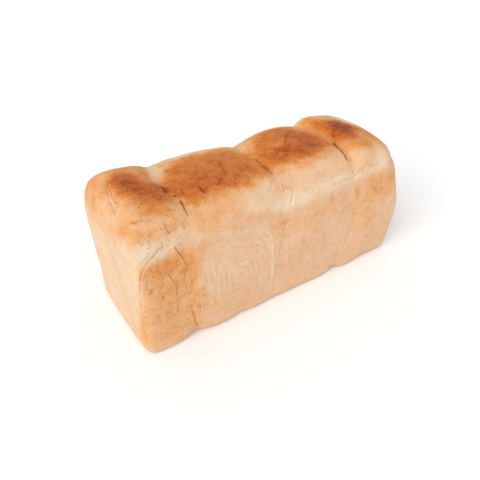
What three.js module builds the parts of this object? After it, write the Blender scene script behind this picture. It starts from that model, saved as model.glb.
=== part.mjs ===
/**
 * Tin loaf: a long white loaf of four dough pieces baked side by side in one
 * open tin.
 *
 * The loaf is one solid. It stands on its flat base, centred on the origin:
 *   +X  along the loaf, from the near end to the far end
 *   -Y  the front long side, +Y the back long side
 *   +Z  up, with the base at Z = 0
 * All lengths are in millimetres.
 *
 * The shape starts as a grid on a box. Its points are first moved onto a block
 * with rounded upright corners, a rounded foot and a domed top. The four lobes
 * are then raised to their own heights, and the seams between them are bent to
 * their courses and pressed in, deep over the dome and shallow down the sides,
 * where the tin held the dough flat. A few gaps are left along the foot, where
 * the dough did not fill the tin. Last come the folds at the rim of the tin and
 * the gentle lumps of the crust.
 */
import * as THREE from "three";
import { mergeVertices } from "three/addons/utils/BufferGeometryUtils.js";

// ---- Block: what the tin shaped --------------------------------------------
const HALF_LENGTH = 135; // straight part of the tin, end to middle
const HALF_WIDTH = 54; // at the rim of the tin
const RIM_HEIGHT = 97; // where the dough left the tin
const UPRIGHT_CORNER_SHARPNESS = 6.2; // power of the corner curve seen from above
const FOOT_RADIUS = 5.4; // edge round the base
const END_TAPER = 0.75; // each end stands in by this much at the base
const SIDE_TAPER = 0.85; // each side likewise
const SIDE_SWELL = 3; // the sides swell out at half height
const NEAR_END_SWELL = -0.85; // the near end is slightly hollow
const FAR_END_SWELL = 7.3; // the far end is puffed out
const FAR_END_BULGE = 5.8; // above the rim its middle stands out by this much more

// ---- Dome: what rose above the tin -----------------------------------------
const DOME_RADIUS = 26.5; // how far in from the walls the rounding reaches
const DOME_DEPTH = 34; // height of the rounding
const DOME_TOP = 124.5; // top of the rounding, before lobes and crown
const DOME_SHARPNESS = 2.68; // power of the rounding: 2 is a quarter circle
const FAR_DOME_SHARPNESS = 3.4; // the same at the far end
const FAR_CORNER_SHARPNESS = 2.7; // the far end's upright corners grow this round over the dome
const CORNER_TURN = 0.62; // over this much of the dome's depth
const CROWN = 4.2; // extra height along the middle line

// ---- Lobes, from the near end to the far end -------------------------------
// lift: height over the common dome; columns: grid columns along the lobe
const LOBES = [
  { lift: 4, columns: 12 },
  { lift: -2, columns: 20 },
  { lift: -3.8, columns: 18 },
  { lift: -4, columns: 14 },
];
const LOBE_STEP = 14; // half the length over which one lift turns into the next
const NEAR_END_RISE = { height: 1.8, length: 60 }; // the near lobe stands up at its end
const FAR_END_FALL = { height: -5.7, length: 43 }; // the far lobe drops away

// ---- Seams between the lobes -----------------------------------------------
// at: nominal X; back, crest, shoulder, rim, foot: X of its course at the back
// edge, on the crest, on the front shoulder, at the rim and at the base;
// depth: how deep it is on top; reach: how far the lobes fall towards it, on
// the near and on the far side
const SEAMS = [
  { at: -87, back: -77, crest: -82, shoulder: -83, rim: -95, foot: -89, depth: 4.1, reach: [32, 15] },
  { at: 4, back: 9, crest: 8, shoulder: 6, rim: 3, foot: -10, depth: 6.8, reach: [62, 34] },
  { at: 82, back: 80, crest: 85, shoulder: 82, rim: 79, foot: 66, depth: 6.7, reach: [32, 12] },
];
const SEAM_SIDE_DEPTH = 1.15; // down the walls
const SEAM_FOOT_DEPTH = 0.1; // more at the base
const CREASE_WIDTH = 5; // the sharp line at the bottom of a seam
const CREASE_SHARE = 0.12; // its part of the seam's depth
const SHOULDER_SHARE = 0.45; // of a seam's depth, what is left on the front shoulder

// ---- Folds along the tin line ----------------------------------------------
// Where the rising dough left the rim of the tin, it folded over a little.
// side: -1 front, 1 back; from, to: X range; height: Z at both ends of it
const FOLDS = [
  { side: -1, from: -140, to: -96, height: [94, 108], depth: 1.5 },
  { side: -1, from: 22, to: 120, height: [109, 106], depth: 1.1 },
  { side: 1, from: -70, to: 74, height: [105, 108], depth: 1.2 },
];
const FOLD_HALF_WIDTH = 7;
const FOLD_FADE = 12; // length over which a fold dies out at its ends

// ---- Gaps along the foot ---------------------------------------------------
// side: -1 front, 1 back; at: X of the middle; depth: how far the wall stands
// in at the base; reach: half its length
const GAPS = [
  { side: -1, at: -87, depth: 6.5, reach: 19 },
  { side: -1, at: -43, depth: 3.8, reach: 14 },
  { side: -1, at: 64, depth: 6, reach: 13 },
  { side: -1, at: 106, depth: 4.5, reach: 34 },
  { side: 1, at: -34, depth: 4.5, reach: 18 },
  { side: 1, at: 74, depth: 6, reach: 18 },
];
const GAP_HEIGHT = 14;

// ---- Unevenness of the crust -----------------------------------------------
const LUMP_HEIGHT = 0.7;
const LUMP_PITCH = [23, 17, 19]; // along, across and up, as radians per length

// ---- Grid ------------------------------------------------------------------
const COLUMNS = LOBES.reduce((sum, lobe) => sum + lobe.columns, 0);
const ROWS_ACROSS = 18;
const ROWS_UP = 20;
const WALL_ROWS = 12; // of ROWS_UP, the rest are on the dome
const ROW_CROWDING = 1.5; // power that draws the wall rows towards the foot
const COLUMN_CROWDING = 0.03; // draws the columns towards the seams

const CRUST = { color: 0xd9a066, roughness: 0.8, metalness: 0 };

const { clamp, lerp, smoothstep } = THREE.MathUtils;
const EDGES = [-HALF_LENGTH, ...SEAMS.map((seam) => seam.at), HALF_LENGTH];

/** X of a grid column, given 0..1 along the loaf: each seam falls on a column. */
function columnPosition(share) {
  const column = share * COLUMNS;
  let first = 0;
  for (let i = 0; i < LOBES.length; i++) {
    const last = first + LOBES[i].columns;
    if (column <= last + 1e-6 || i === LOBES.length - 1) {
      const t = (column - first) / (last - first);
      return lerp(EDGES[i], EDGES[i + 1], t - COLUMN_CROWDING * Math.sin(2 * Math.PI * t));
    }
    first = last;
  }
}

/** Height of a grid row, given 0..1 up the box. */
function rowHeight(share) {
  const row = share * ROWS_UP;
  const wallTop = DOME_TOP - DOME_DEPTH;
  return row <= WALL_ROWS
    ? wallTop * (row / WALL_ROWS) ** ROW_CROWDING
    : wallTop + (DOME_DEPTH * (row - WALL_ROWS)) / (ROWS_UP - WALL_ROWS);
}

/** Moves a point of the square block onto the rounded block, in place. */
function roundBlock(point) {
  const coreX = clamp(point.x, DOME_RADIUS - HALF_LENGTH, HALF_LENGTH - DOME_RADIUS);
  const coreY = clamp(point.y, DOME_RADIUS - HALF_WIDTH, HALF_WIDTH - DOME_RADIUS);
  const coreZ = Math.min(point.z, DOME_TOP - DOME_DEPTH);
  const u = Math.abs(point.x - coreX) / DOME_RADIUS;
  const v = Math.abs(point.y - coreY) / DOME_RADIUS;
  const w = (point.z - coreZ) / DOME_DEPTH;
  const far = smoothstep(point.x, HALF_LENGTH / 2, HALF_LENGTH);
  const sharpness = lerp(DOME_SHARPNESS, FAR_DOME_SHARPNESS, far);
  const turn = far * smoothstep(w, 0, CORNER_TURN);
  const corner = lerp(UPRIGHT_CORNER_SHARPNESS, FAR_CORNER_SHARPNESS, turn);
  const plan = (u ** corner + v ** corner) ** (1 / corner);
  const reach = (plan ** sharpness + w ** sharpness) ** (1 / sharpness);
  const pull = reach > 1e-9 ? Math.max(u, v, w) / reach : 1;
  point.set(lerp(coreX, point.x, pull), lerp(coreY, point.y, pull), lerp(coreZ, point.z, pull));
}

/** Gives the walls their taper, swell and rounded foot, in place. */
function shapeWalls(point) {
  const up = clamp(point.z / RIM_HEIGHT, 0, 1);
  const swell = Math.sin(Math.PI * up) ** 1.5;
  const under = clamp(1 - point.z / FOOT_RADIUS, 0, 1);
  const foot = FOOT_RADIUS * (1 - Math.sqrt(1 - under * under));
  const across = clamp(point.y / HALF_WIDTH, -1, 1);
  const bulge = FAR_END_BULGE * (1 - across ** 2) * smoothstep(point.z, RIM_HEIGHT - 25, RIM_HEIGHT + 15);
  const endSwell = point.x < 0 ? NEAR_END_SWELL * swell : FAR_END_SWELL * swell + bulge;
  point.x *= 1 + (endSwell - END_TAPER * (1 - up) - foot) / HALF_LENGTH;
  point.y *= 1 + (SIDE_SWELL * swell - SIDE_TAPER * (1 - up) - foot) / HALF_WIDTH;
}

/** Height that the lobes, the crown and the two ends add at a point of the dome. */
function domeRise(point, nominalX) {
  let rise = LOBES[0].lift;
  SEAMS.forEach((seam, i) => {
    const step = LOBES[i + 1].lift - LOBES[i].lift;
    rise += step * smoothstep(nominalX, seam.at - LOBE_STEP, seam.at + LOBE_STEP);
  });
  rise += NEAR_END_RISE.height * smoothstep(-point.x, HALF_LENGTH - NEAR_END_RISE.length, HALF_LENGTH);
  rise += FAR_END_FALL.height * smoothstep(point.x, HALF_LENGTH - FAR_END_FALL.length, HALF_LENGTH);
  rise += CROWN * (1 - Math.min(1, Math.abs(point.y) / HALF_WIDTH) ** 2);
  return rise * smoothstep(point.z, RIM_HEIGHT - 10, DOME_TOP);
}

/** X of a seam's course at the given Y and Z. */
function seamCourse(seam, y, z) {
  const front = clamp(-y / HALF_WIDTH, -1, 1); // 1 at the front, -1 at the back
  const overTop =
    front < 0
      ? lerp(seam.crest, seam.back, smoothstep(-front, 0, 0.9))
      : lerp(seam.crest, seam.shoulder, smoothstep(front, 0.1, 0.9));
  const downSide =
    front < 0
      ? lerp(seam.foot, seam.back, smoothstep(z, 0.2 * RIM_HEIGHT, RIM_HEIGHT))
      : lerp(seam.foot, seam.rim, smoothstep(z, 0.1 * RIM_HEIGHT, 0.9 * RIM_HEIGHT));
  return lerp(downSide, overTop, smoothstep(z, RIM_HEIGHT - 6, RIM_HEIGHT + 16));
}

/** Shift along X that bends the nominal seams onto their courses. */
function seamBend(nominalX, y, z) {
  const shifts = [0, ...SEAMS.map((seam) => seamCourse(seam, y, z) - seam.at), 0];
  const lobe = Math.max(0, EDGES.findIndex((edge) => nominalX <= edge) - 1);
  const t = (nominalX - EDGES[lobe]) / (EDGES[lobe + 1] - EDGES[lobe]);
  return lerp(shifts[lobe], shifts[lobe + 1], clamp(t, 0, 1));
}

/** How far a long side stands in at a point, where a gap runs along its foot. */
function footGap({ x, y, z }) {
  const low = clamp(1 - z / GAP_HEIGHT, 0, 1);
  const depths = GAPS.filter((gap) => y * gap.side > 0).map((gap) => {
    const near = Math.max(0, 1 - Math.abs(x - gap.at) / gap.reach);
    return gap.depth * (near * low) ** 1.5;
  });
  return Math.max(0, ...depths);
}

/** How far the seams press the crust in at a point, given its facing. */
function seamPress(nominalX, { y, z }, normal) {
  const onTop =
    smoothstep(normal.z, -0.1, 0.75) * smoothstep(z, RIM_HEIGHT - 14, RIM_HEIGHT + 8);
  const onShoulder = lerp(1, SHOULDER_SHARE, smoothstep(-y / HALF_WIDTH, 0.3, 0.85));
  const nearFoot = 1 - smoothstep(z, 0, RIM_HEIGHT / 2);
  const onSide = SEAM_SIDE_DEPTH + SEAM_FOOT_DEPTH * nearFoot;
  let press = 0;
  for (const seam of SEAMS) {
    const away = Math.abs(nominalX - seam.at);
    const reach = seam.reach[nominalX < seam.at ? 0 : 1];
    const valley = Math.max(0, 1 - away / reach) ** 1.7;
    const crease = Math.max(0, 1 - away / CREASE_WIDTH) ** 1.3;
    press += lerp(onSide, seam.depth * onShoulder, onTop) * lerp(valley, crease, CREASE_SHARE);
  }
  return press;
}

/** How far the folds press the crust in at a point. */
function foldPress({ x, y, z }) {
  let press = 0;
  for (const fold of FOLDS) {
    if (y * fold.side < HALF_WIDTH / 2) continue;
    const along = clamp((x - fold.from) / (fold.to - fold.from), 0, 1);
    const course = lerp(fold.height[0], fold.height[1], along);
    const across = Math.max(0, 1 - Math.abs(z - course) / FOLD_HALF_WIDTH);
    const ends =
      smoothstep(x, fold.from, fold.from + FOLD_FADE) * (1 - smoothstep(x, fold.to - FOLD_FADE, fold.to));
    press += fold.depth * across ** 1.5 * ends;
  }
  return press;
}

/** Gentle lumps of the crust at a point. */
function lump({ x, y, z }) {
  const [along, across, up] = LUMP_PITCH;
  const broad = Math.sin(x / along + 0.8) * Math.sin(z / up + y / across + 1.1);
  const narrow = Math.sin(x / (0.6 * along) - z / up) * Math.sin(y / across + 2.3);
  return LUMP_HEIGHT * (0.65 * broad + 0.35 * narrow);
}

function loafGeometry() {
  const box = new THREE.BoxGeometry(2, 2, 2, COLUMNS, ROWS_ACROSS, ROWS_UP);
  box.deleteAttribute("normal");
  box.deleteAttribute("uv");
  const geometry = mergeVertices(box, 1e-5);
  geometry.clearGroups();
  const position = geometry.attributes.position;
  const grid = position.clone();
  const nominal = []; // X of each point before the seams are bent
  const point = new THREE.Vector3();

  for (let i = 0; i < position.count; i++) {
    const across = grid.getY(i);
    point.set(columnPosition((grid.getX(i) + 1) / 2), across * HALF_WIDTH, rowHeight((grid.getZ(i) + 1) / 2));
    nominal[i] = point.x;
    roundBlock(point);
    shapeWalls(point);
    point.z += domeRise(point, nominal[i]);
    point.x += seamBend(nominal[i], point.y, point.z);
    point.y *= 1 - footGap(point) / HALF_WIDTH;
    position.setXYZ(i, point.x, point.y, point.z);
  }

  geometry.computeVertexNormals();
  const normal = geometry.attributes.normal;
  const facing = new THREE.Vector3();
  for (let i = 0; i < position.count; i++) {
    const onBase = grid.getZ(i) < -1 + 1e-4;
    const onRing = Math.max(Math.abs(grid.getX(i)), Math.abs(grid.getY(i))) > 1 - 1e-4;
    if (onBase && !onRing) continue; // the inside of the flat base stays put
    point.fromBufferAttribute(position, i);
    facing.fromBufferAttribute(normal, i);
    if (onBase) facing.setZ(0).normalize();
    const press = seamPress(nominal[i], point, facing) + foldPress(point);
    point.addScaledVector(facing, lump(point) - press);
    position.setXYZ(i, point.x, point.y, onBase ? 0 : point.z);
  }

  geometry.computeBoundingBox();
  const middle = geometry.boundingBox.getCenter(new THREE.Vector3());
  geometry.translate(-middle.x, -middle.y, 0);
  geometry.computeVertexNormals();
  return geometry;
}

const loaf = new THREE.Mesh(loafGeometry(), new THREE.MeshStandardMaterial(CRUST));
loaf.name = "loaf";

const part = new THREE.Group();
part.add(loaf);

export default part;
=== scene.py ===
"""A long white tin loaf of four lobes, browned on its crowns, on a pale studio floor."""
import logging
import math
from dataclasses import dataclass, field
from enum import Enum
from typing import Sequence

import bmesh
import bpy
import numpy as np
from mathutils import Matrix, Vector, noise
from mathutils.bvhtree import BVHTree
from mathutils.kdtree import KDTree


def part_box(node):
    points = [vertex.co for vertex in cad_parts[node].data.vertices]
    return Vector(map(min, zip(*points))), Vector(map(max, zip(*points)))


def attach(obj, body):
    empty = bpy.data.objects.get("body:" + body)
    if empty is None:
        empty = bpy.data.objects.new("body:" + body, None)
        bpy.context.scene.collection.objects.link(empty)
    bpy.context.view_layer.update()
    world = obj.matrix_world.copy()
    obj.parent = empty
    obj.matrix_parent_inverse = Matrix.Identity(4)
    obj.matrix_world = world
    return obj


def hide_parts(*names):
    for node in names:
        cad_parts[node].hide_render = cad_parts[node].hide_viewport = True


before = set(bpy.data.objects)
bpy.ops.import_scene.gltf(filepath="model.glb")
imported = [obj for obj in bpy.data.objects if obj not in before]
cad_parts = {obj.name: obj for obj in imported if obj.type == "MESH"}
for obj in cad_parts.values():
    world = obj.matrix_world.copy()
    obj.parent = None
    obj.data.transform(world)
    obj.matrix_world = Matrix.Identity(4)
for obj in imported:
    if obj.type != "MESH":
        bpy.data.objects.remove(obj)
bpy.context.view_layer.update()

LOG = logging.getLogger("tin_loaf")
MM = 0.001
TINY = 1e-9  # the least length that anything is divided by

Pair = tuple[float, float]
Triple = tuple[float, float, float]
Range = tuple[float, float, float, float]  # two values, and what each of them becomes
Colour = tuple[int, int, int]  # a screen colour, each channel 0 to 255
Rgba = tuple[float, float, float, float]  # a linear colour and its alpha, each 0 to 1
Socket = bpy.types.NodeSocket


# ---- Plain maths ----------------------------------------------------------------

SEED_SHIFTS = (7.31, 3.17, 5.73)  # how far one seed moves a noise's pattern along each axis
SCREEN_FULL = 255.0  # a screen colour's channel at its brightest
SCREEN_CURVE = (0.04045, 12.92, 0.055, 2.4)  # the sRGB standard's end, slope, offset and power


def smooth(value: np.ndarray, low: float, high: float) -> np.ndarray:
    """Returns 0 below low, 1 above high and a smooth step between them."""
    t = np.clip((value - low) / (high - low), 0.0, 1.0)
    return t * t * (3.0 - 2.0 * t)


def blend(a: np.ndarray | float, b: np.ndarray | float, t: np.ndarray) -> np.ndarray:
    """Returns a where t is 0 and b where t is 1."""
    return a + (b - a) * t


def fall(value: np.ndarray, power: float = 1.0) -> np.ndarray:
    """Returns 1 where value is 0, falling to 0 where it is 1 or more."""
    return np.maximum(0, 1 - value) ** power


def bell(value: np.ndarray, middle: float, width: float) -> np.ndarray:
    """Returns a hump of height 1 about middle."""
    return np.exp(-((value - middle) / width) ** 2)


def squared_off(u: np.ndarray, v: np.ndarray, power: float | np.ndarray) -> np.ndarray:
    """Returns how far u and v are from 0, counted in rings that power squares off."""
    return (u ** power + v ** power) ** (1 / power)


def unit(vectors: np.ndarray) -> np.ndarray:
    """Returns vectors of length 1 that point the same ways, one row each."""
    return vectors / np.maximum(np.linalg.norm(vectors, axis=1), TINY)[:, None]


def reach_of(course: np.ndarray) -> np.ndarray:
    """Returns how far along a course each of its places lies."""
    return np.concatenate([[0.0], np.cumsum(np.hypot(*np.diff(course, axis=0).T))])


def follow(course: np.ndarray, at: float | np.ndarray) -> np.ndarray:
    """Returns the place at each distance along a course."""
    return np.stack([np.interp(at, reach_of(course), course[:, k]) for k in range(2)], axis=-1)


def perlin(points: np.ndarray, pitch: float, seed: float = 0.0) -> np.ndarray:
    """Evaluates gradient noise at points.

    Args:
        points: Places in metres, one row each.
        pitch: Size of one swelling of the noise, in metres.
        seed: Shifts the noise to another part of its pattern.

    Returns:
        One value for each point, about -1 to 1.
    """
    shift = Vector([seed * step for step in SEED_SHIFTS])
    scale = 1.0 / pitch
    return np.array([noise.noise(Vector(p) * scale + shift) for p in points.tolist()])


def srgb(red: int, green: int, blue: int) -> Rgba:
    """Turns a screen colour into the linear colour that shaders take.

    Args:
        red: Red, 0 to 255.
        green: Green, 0 to 255.
        blue: Blue, 0 to 255.

    Returns:
        Red, green, blue and a full alpha, each 0 to 1.
    """
    def linear(channel: int) -> float:
        """Undoes the screen's curve for one channel."""
        share = channel / SCREEN_FULL
        return share / slope if share <= end else ((share + offset) / (1 + offset)) ** power

    end, slope, offset, power = SCREEN_CURVE
    return linear(red), linear(green), linear(blue), 1.0


# ---- The form of the loaf --------------------------------------------------------

@dataclass(frozen=True)
class Lobe:
    """One piece of dough, as it rose: its lift over the common dome and its share of columns."""

    lift: float
    columns: int


@dataclass(frozen=True)
class Seam:
    """The valley between two lobes. Every field but the depth and reaches is an X.

    at is the nominal place; back, crest, shoulder, rim and foot are where its course
    runs at the back edge, over the crest, at the front shoulder, at the tin's rim and
    at the base.
    """

    at: float
    back: float
    crest: float
    shoulder: float
    rim: float
    foot: float
    depth: float
    reach_near: float
    reach_far: float


@dataclass(frozen=True)
class Fold:
    """A fold where the rising dough left the rim of the tin, on the front (-1) or back (1)."""

    side: int
    start: float
    end: float
    start_height: float
    end_height: float
    depth: float


@dataclass(frozen=True)
class Gap:
    """A gap along the foot of the front (-1) or back (1), where the tin wasn't filled.

    at is the X of its middle, depth is how far the wall stands in at the base, and
    reach is half the gap's length.
    """

    side: int
    at: float
    depth: float
    reach: float


@dataclass(frozen=True)
class LoafForm:
    """The smooth form of the loaf, as functions that move the points of a cube grid.

    A band says from where to where something comes in: bulge_band, rim_band and
    top_band over the tin's rim, the down bands as shares of the rim's height, the over
    bands and shoulder_band as shares of the half width, and upright_band as the rise of
    the crust's normal. A power says how tightly a swell or a hollow gathers. The far
    corners reach their own sharpness at corner_turn of the dome's height, lobe_step is
    how far to each side of a seam one lobe's lift turns into the next one's, and
    near_rise and far_fall are a height and the length that it fades over.
    """

    # The block that the tin shaped: its size, corners, foot, taper and swell
    half_length: float = 135 * MM
    half_width: float = 54 * MM
    rim_height: float = 97 * MM
    corner_sharpness: float = 6.2
    far_corner_sharpness: float = 2.7
    corner_turn: float = 0.62
    foot_radius: float = 5.4 * MM
    end_taper: float = 0.75 * MM
    side_taper: float = 0.85 * MM
    side_swell: float = 3.0 * MM
    near_end_swell: float = -0.85 * MM
    far_end_swell: float = 7.3 * MM
    swell_power: float = 1.5
    far_end_bulge: float = 5.8 * MM
    bulge_band: Pair = (-25 * MM, 15 * MM)
    # The dome over the rim, and what the lobes and the ends add to it
    dome_radius: float = 26.5 * MM
    dome_depth: float = 34 * MM
    dome_start: float = -10 * MM
    dome_top: float = 124.5 * MM
    dome_sharpness: float = 2.68
    far_dome_sharpness: float = 3.4
    crown: float = 4.2 * MM
    lobe_step: float = 14 * MM
    near_rise: Pair = (1.8 * MM, 60 * MM)
    far_fall: Pair = (-5.7 * MM, 43 * MM)
    lobes: tuple[Lobe, ...] = (
        Lobe(4 * MM, 12), Lobe(-2 * MM, 20), Lobe(-3.8 * MM, 18), Lobe(-4 * MM, 14),
    )
    # The courses of the seams
    seams: tuple[Seam, ...] = (
        Seam(-87 * MM, -77 * MM, -82 * MM, -83 * MM, -95 * MM, -89 * MM, 4.1 * MM, 32 * MM, 15 * MM),
        Seam(4 * MM, 9 * MM, 8 * MM, 6 * MM, 3 * MM, -10 * MM, 6.8 * MM, 62 * MM, 34 * MM),
        Seam(82 * MM, 80 * MM, 85 * MM, 82 * MM, 79 * MM, 66 * MM, 6.7 * MM, 32 * MM, 12 * MM),
    )
    rim_band: Pair = (-6 * MM, 16 * MM)
    over_back_band: Pair = (0.0, 0.9)
    over_front_band: Pair = (0.1, 0.9)
    down_back_band: Pair = (0.2, 1.0)
    down_front_band: Pair = (0.1, 0.9)
    # The hollow of a seam: a broad valley with a crease in it
    top_band: Pair = (-14 * MM, 8 * MM)
    upright_band: Pair = (-0.1, 0.75)
    shoulder_band: Pair = (0.3, 0.85)
    shoulder_share: float = 0.45
    seam_side_depth: float = 1.15 * MM
    seam_foot_depth: float = 0.1 * MM
    valley_round: float = 2.5 * MM
    valley_power: float = 1.7
    crease_width: float = 5 * MM
    crease_power: float = 1.3
    crease_share: float = 0.12
    # The folds along the rim, the gaps along the foot, and the lumps
    folds: tuple[Fold, ...] = (
        Fold(-1, -140 * MM, -96 * MM, 94 * MM, 108 * MM, 1.5 * MM),
        Fold(-1, 22 * MM, 120 * MM, 109 * MM, 106 * MM, 1.1 * MM),
        Fold(1, -70 * MM, 74 * MM, 105 * MM, 108 * MM, 1.2 * MM),
    )
    fold_half_width: float = 7 * MM
    fold_power: float = 1.5
    fold_fade: float = 12 * MM
    gaps: tuple[Gap, ...] = (
        Gap(-1, -87 * MM, 6.5 * MM, 19 * MM), Gap(-1, -43 * MM, 3.8 * MM, 14 * MM),
        Gap(-1, 64 * MM, 6 * MM, 13 * MM), Gap(-1, 106 * MM, 4.5 * MM, 34 * MM),
        Gap(1, -34 * MM, 4.5 * MM, 18 * MM), Gap(1, 74 * MM, 6 * MM, 18 * MM),
    )
    gap_height: float = 14 * MM
    gap_power: float = 1.5
    lump_height: float = 0.7 * MM
    lump_pitch: Triple = (23 * MM, 17 * MM, 19 * MM)
    lump_phases: Triple = (0.8, 1.1, 2.3)
    lump_shares: Pair = (0.65, 0.35)
    narrow_pitch: float = 0.6
    # How the grid's columns and rows are shared out
    column_crowding: float = 0.03
    row_crowding: float = 1.2
    wall_share: float = 0.66

    @property
    def edges(self) -> np.ndarray:
        """The X of both ends and of the nominal seams, from near to far."""
        return np.array([-self.half_length, *(seam.at for seam in self.seams), self.half_length])

    def over_rim(self, band: Pair) -> Pair:
        """Returns a band of heights over the rim as heights over the base."""
        return self.rim_height + band[0], self.rim_height + band[1]

    def column_x(self, share: np.ndarray) -> np.ndarray:
        """Shares the grid's columns out over the lobes.

        Args:
            share: Places as 0 to 1 along the grid.

        Returns:
            The nominal X of each.
        """
        counts = np.cumsum([0] + [lobe.columns for lobe in self.lobes])
        ends = counts / counts[-1]
        lobe = np.clip(np.searchsorted(ends, share, side="right") - 1, 0, len(self.lobes) - 1)
        t = (share - ends[lobe]) / (ends[lobe + 1] - ends[lobe])
        t = t - self.column_crowding * np.sin(2 * np.pi * t)
        return blend(self.edges[lobe], self.edges[lobe + 1], t)

    def row_z(self, share: np.ndarray) -> np.ndarray:
        """Shares the grid's rows out over the wall and the dome.

        Args:
            share: Places as 0 to 1 up the grid.

        Returns:
            The height of each on the block.
        """
        wall_top = self.dome_top - self.dome_depth
        wall = wall_top * np.minimum(share / self.wall_share, 1.0) ** self.row_crowding
        dome = self.dome_depth * np.maximum(share - self.wall_share, 0.0) / (1 - self.wall_share)
        return wall + dome

    def round_block(self, block: np.ndarray) -> np.ndarray:
        """Rounds the corners and the dome of the square block.

        Args:
            block: Points of the square block in metres, one row each.

        Returns:
            The same points on the rounded block.
        """
        margin = self.dome_radius
        core = np.stack([
            np.clip(block[:, 0], margin - self.half_length, self.half_length - margin),
            np.clip(block[:, 1], margin - self.half_width, self.half_width - margin),
            np.minimum(block[:, 2], self.dome_top - self.dome_depth),
        ], axis=1)
        depth = np.array([self.dome_radius, self.dome_radius, self.dome_depth])
        out = np.abs(block - core) / depth
        far = smooth(block[:, 0], self.half_length / 2, self.half_length)
        turn = far * smooth(out[:, 2], 0, self.corner_turn)
        plan = squared_off(
            out[:, 0], out[:, 1], blend(self.corner_sharpness, self.far_corner_sharpness, turn)
        )
        reach = squared_off(plan, out[:, 2], blend(self.dome_sharpness, self.far_dome_sharpness, far))
        pull = np.where(reach > TINY, out.max(axis=1) / np.maximum(reach, TINY), 1.0)
        return core + (block - core) * pull[:, None]

    def shape_walls(self, points: np.ndarray) -> None:
        """Gives the walls their taper, swell and rounded foot.

        Args:
            points: Points of the rounded block, which are moved in place.
        """
        up = np.clip(points[:, 2] / self.rim_height, 0, 1)
        swell = np.sin(np.pi * up) ** self.swell_power
        under = np.clip(1 - points[:, 2] / self.foot_radius, 0, 1)
        foot = self.foot_radius * (1 - np.sqrt(1 - under * under))
        across = np.clip(points[:, 1] / self.half_width, -1, 1)
        bulge = self.far_end_bulge * (1 - across ** 2)
        bulge *= smooth(points[:, 2], *self.over_rim(self.bulge_band))
        near, far = self.near_end_swell * swell, self.far_end_swell * swell + bulge
        ends = np.where(points[:, 0] < 0, near, far) - self.end_taper * (1 - up) - foot
        sides = self.side_swell * swell - self.side_taper * (1 - up) - foot
        points[:, 0] *= 1 + ends / self.half_length
        points[:, 1] *= 1 + sides / self.half_width

    def dome_rise(self, points: np.ndarray, nominal: np.ndarray) -> np.ndarray:
        """Works out what the lobes, the crown and the ends add to the dome's height.

        Args:
            points: Points of the block in metres, one row each.
            nominal: The nominal X of each.

        Returns:
            The height that is added at each.
        """
        rise = np.full(len(points), self.lobes[0].lift)
        for i, seam in enumerate(self.seams):
            step = self.lobes[i + 1].lift - self.lobes[i].lift
            rise += step * smooth(nominal, seam.at - self.lobe_step, seam.at + self.lobe_step)
        height, length = self.near_rise
        rise += height * smooth(-points[:, 0], self.half_length - length, self.half_length)
        height, length = self.far_fall
        rise += height * smooth(points[:, 0], self.half_length - length, self.half_length)
        rise += self.crown * (1 - np.minimum(1, np.abs(points[:, 1]) / self.half_width) ** 2)
        return rise * smooth(points[:, 2], self.rim_height + self.dome_start, self.dome_top)

    def seam_course(self, seam: Seam, y: np.ndarray, z: np.ndarray) -> np.ndarray:
        """Follows a seam down the back, over the top and down the front.

        Args:
            seam: The seam to follow.
            y: The Y of each place.
            z: The Z of each place.

        Returns:
            The X of the seam's course at each.
        """
        front = np.clip(-y / self.half_width, -1, 1)
        down_back, down_front = (
            smooth(z, *(share * self.rim_height for share in band))
            for band in (self.down_back_band, self.down_front_band)
        )
        over = np.where(
            front < 0,
            blend(seam.crest, seam.back, smooth(-front, *self.over_back_band)),
            blend(seam.crest, seam.shoulder, smooth(front, *self.over_front_band)),
        )
        down = np.where(
            front < 0, blend(seam.foot, seam.back, down_back), blend(seam.foot, seam.rim, down_front)
        )
        return blend(down, over, smooth(z, *self.over_rim(self.rim_band)))

    def seam_bend(self, points: np.ndarray, nominal: np.ndarray) -> np.ndarray:
        """Bends the nominal seams onto their courses.

        Args:
            points: Points of the block in metres, one row each.
            nominal: The nominal X of each.

        Returns:
            The shift of each along X.
        """
        y, z = points[:, 1], points[:, 2]
        zero = np.zeros(len(points))
        shifts = [zero, *(self.seam_course(seam, y, z) - seam.at for seam in self.seams), zero]
        bend = zero.copy()
        for i, (low, high) in enumerate(zip(self.edges[:-1], self.edges[1:])):
            inside = (nominal >= low) & (nominal <= high)
            t = np.clip((nominal - low) / (high - low), 0, 1)
            bend[inside] = blend(shifts[i], shifts[i + 1], t)[inside]
        return bend

    def foot_gap(self, points: np.ndarray) -> np.ndarray:
        """Works out how far the long sides stand in where a gap runs along the foot.

        Args:
            points: Points of the block in metres, one row each.

        Returns:
            The depth of the gap at each.
        """
        x, y, z = points.T
        low = np.clip(1 - z / self.gap_height, 0, 1)
        inset = np.zeros(len(points))
        for gap in self.gaps:
            near = fall(np.abs(x - gap.at) / gap.reach)
            depth = gap.depth * (near * low) ** self.gap_power
            inset = np.maximum(inset, np.where(y * gap.side > 0, depth, 0))
        return inset

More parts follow.
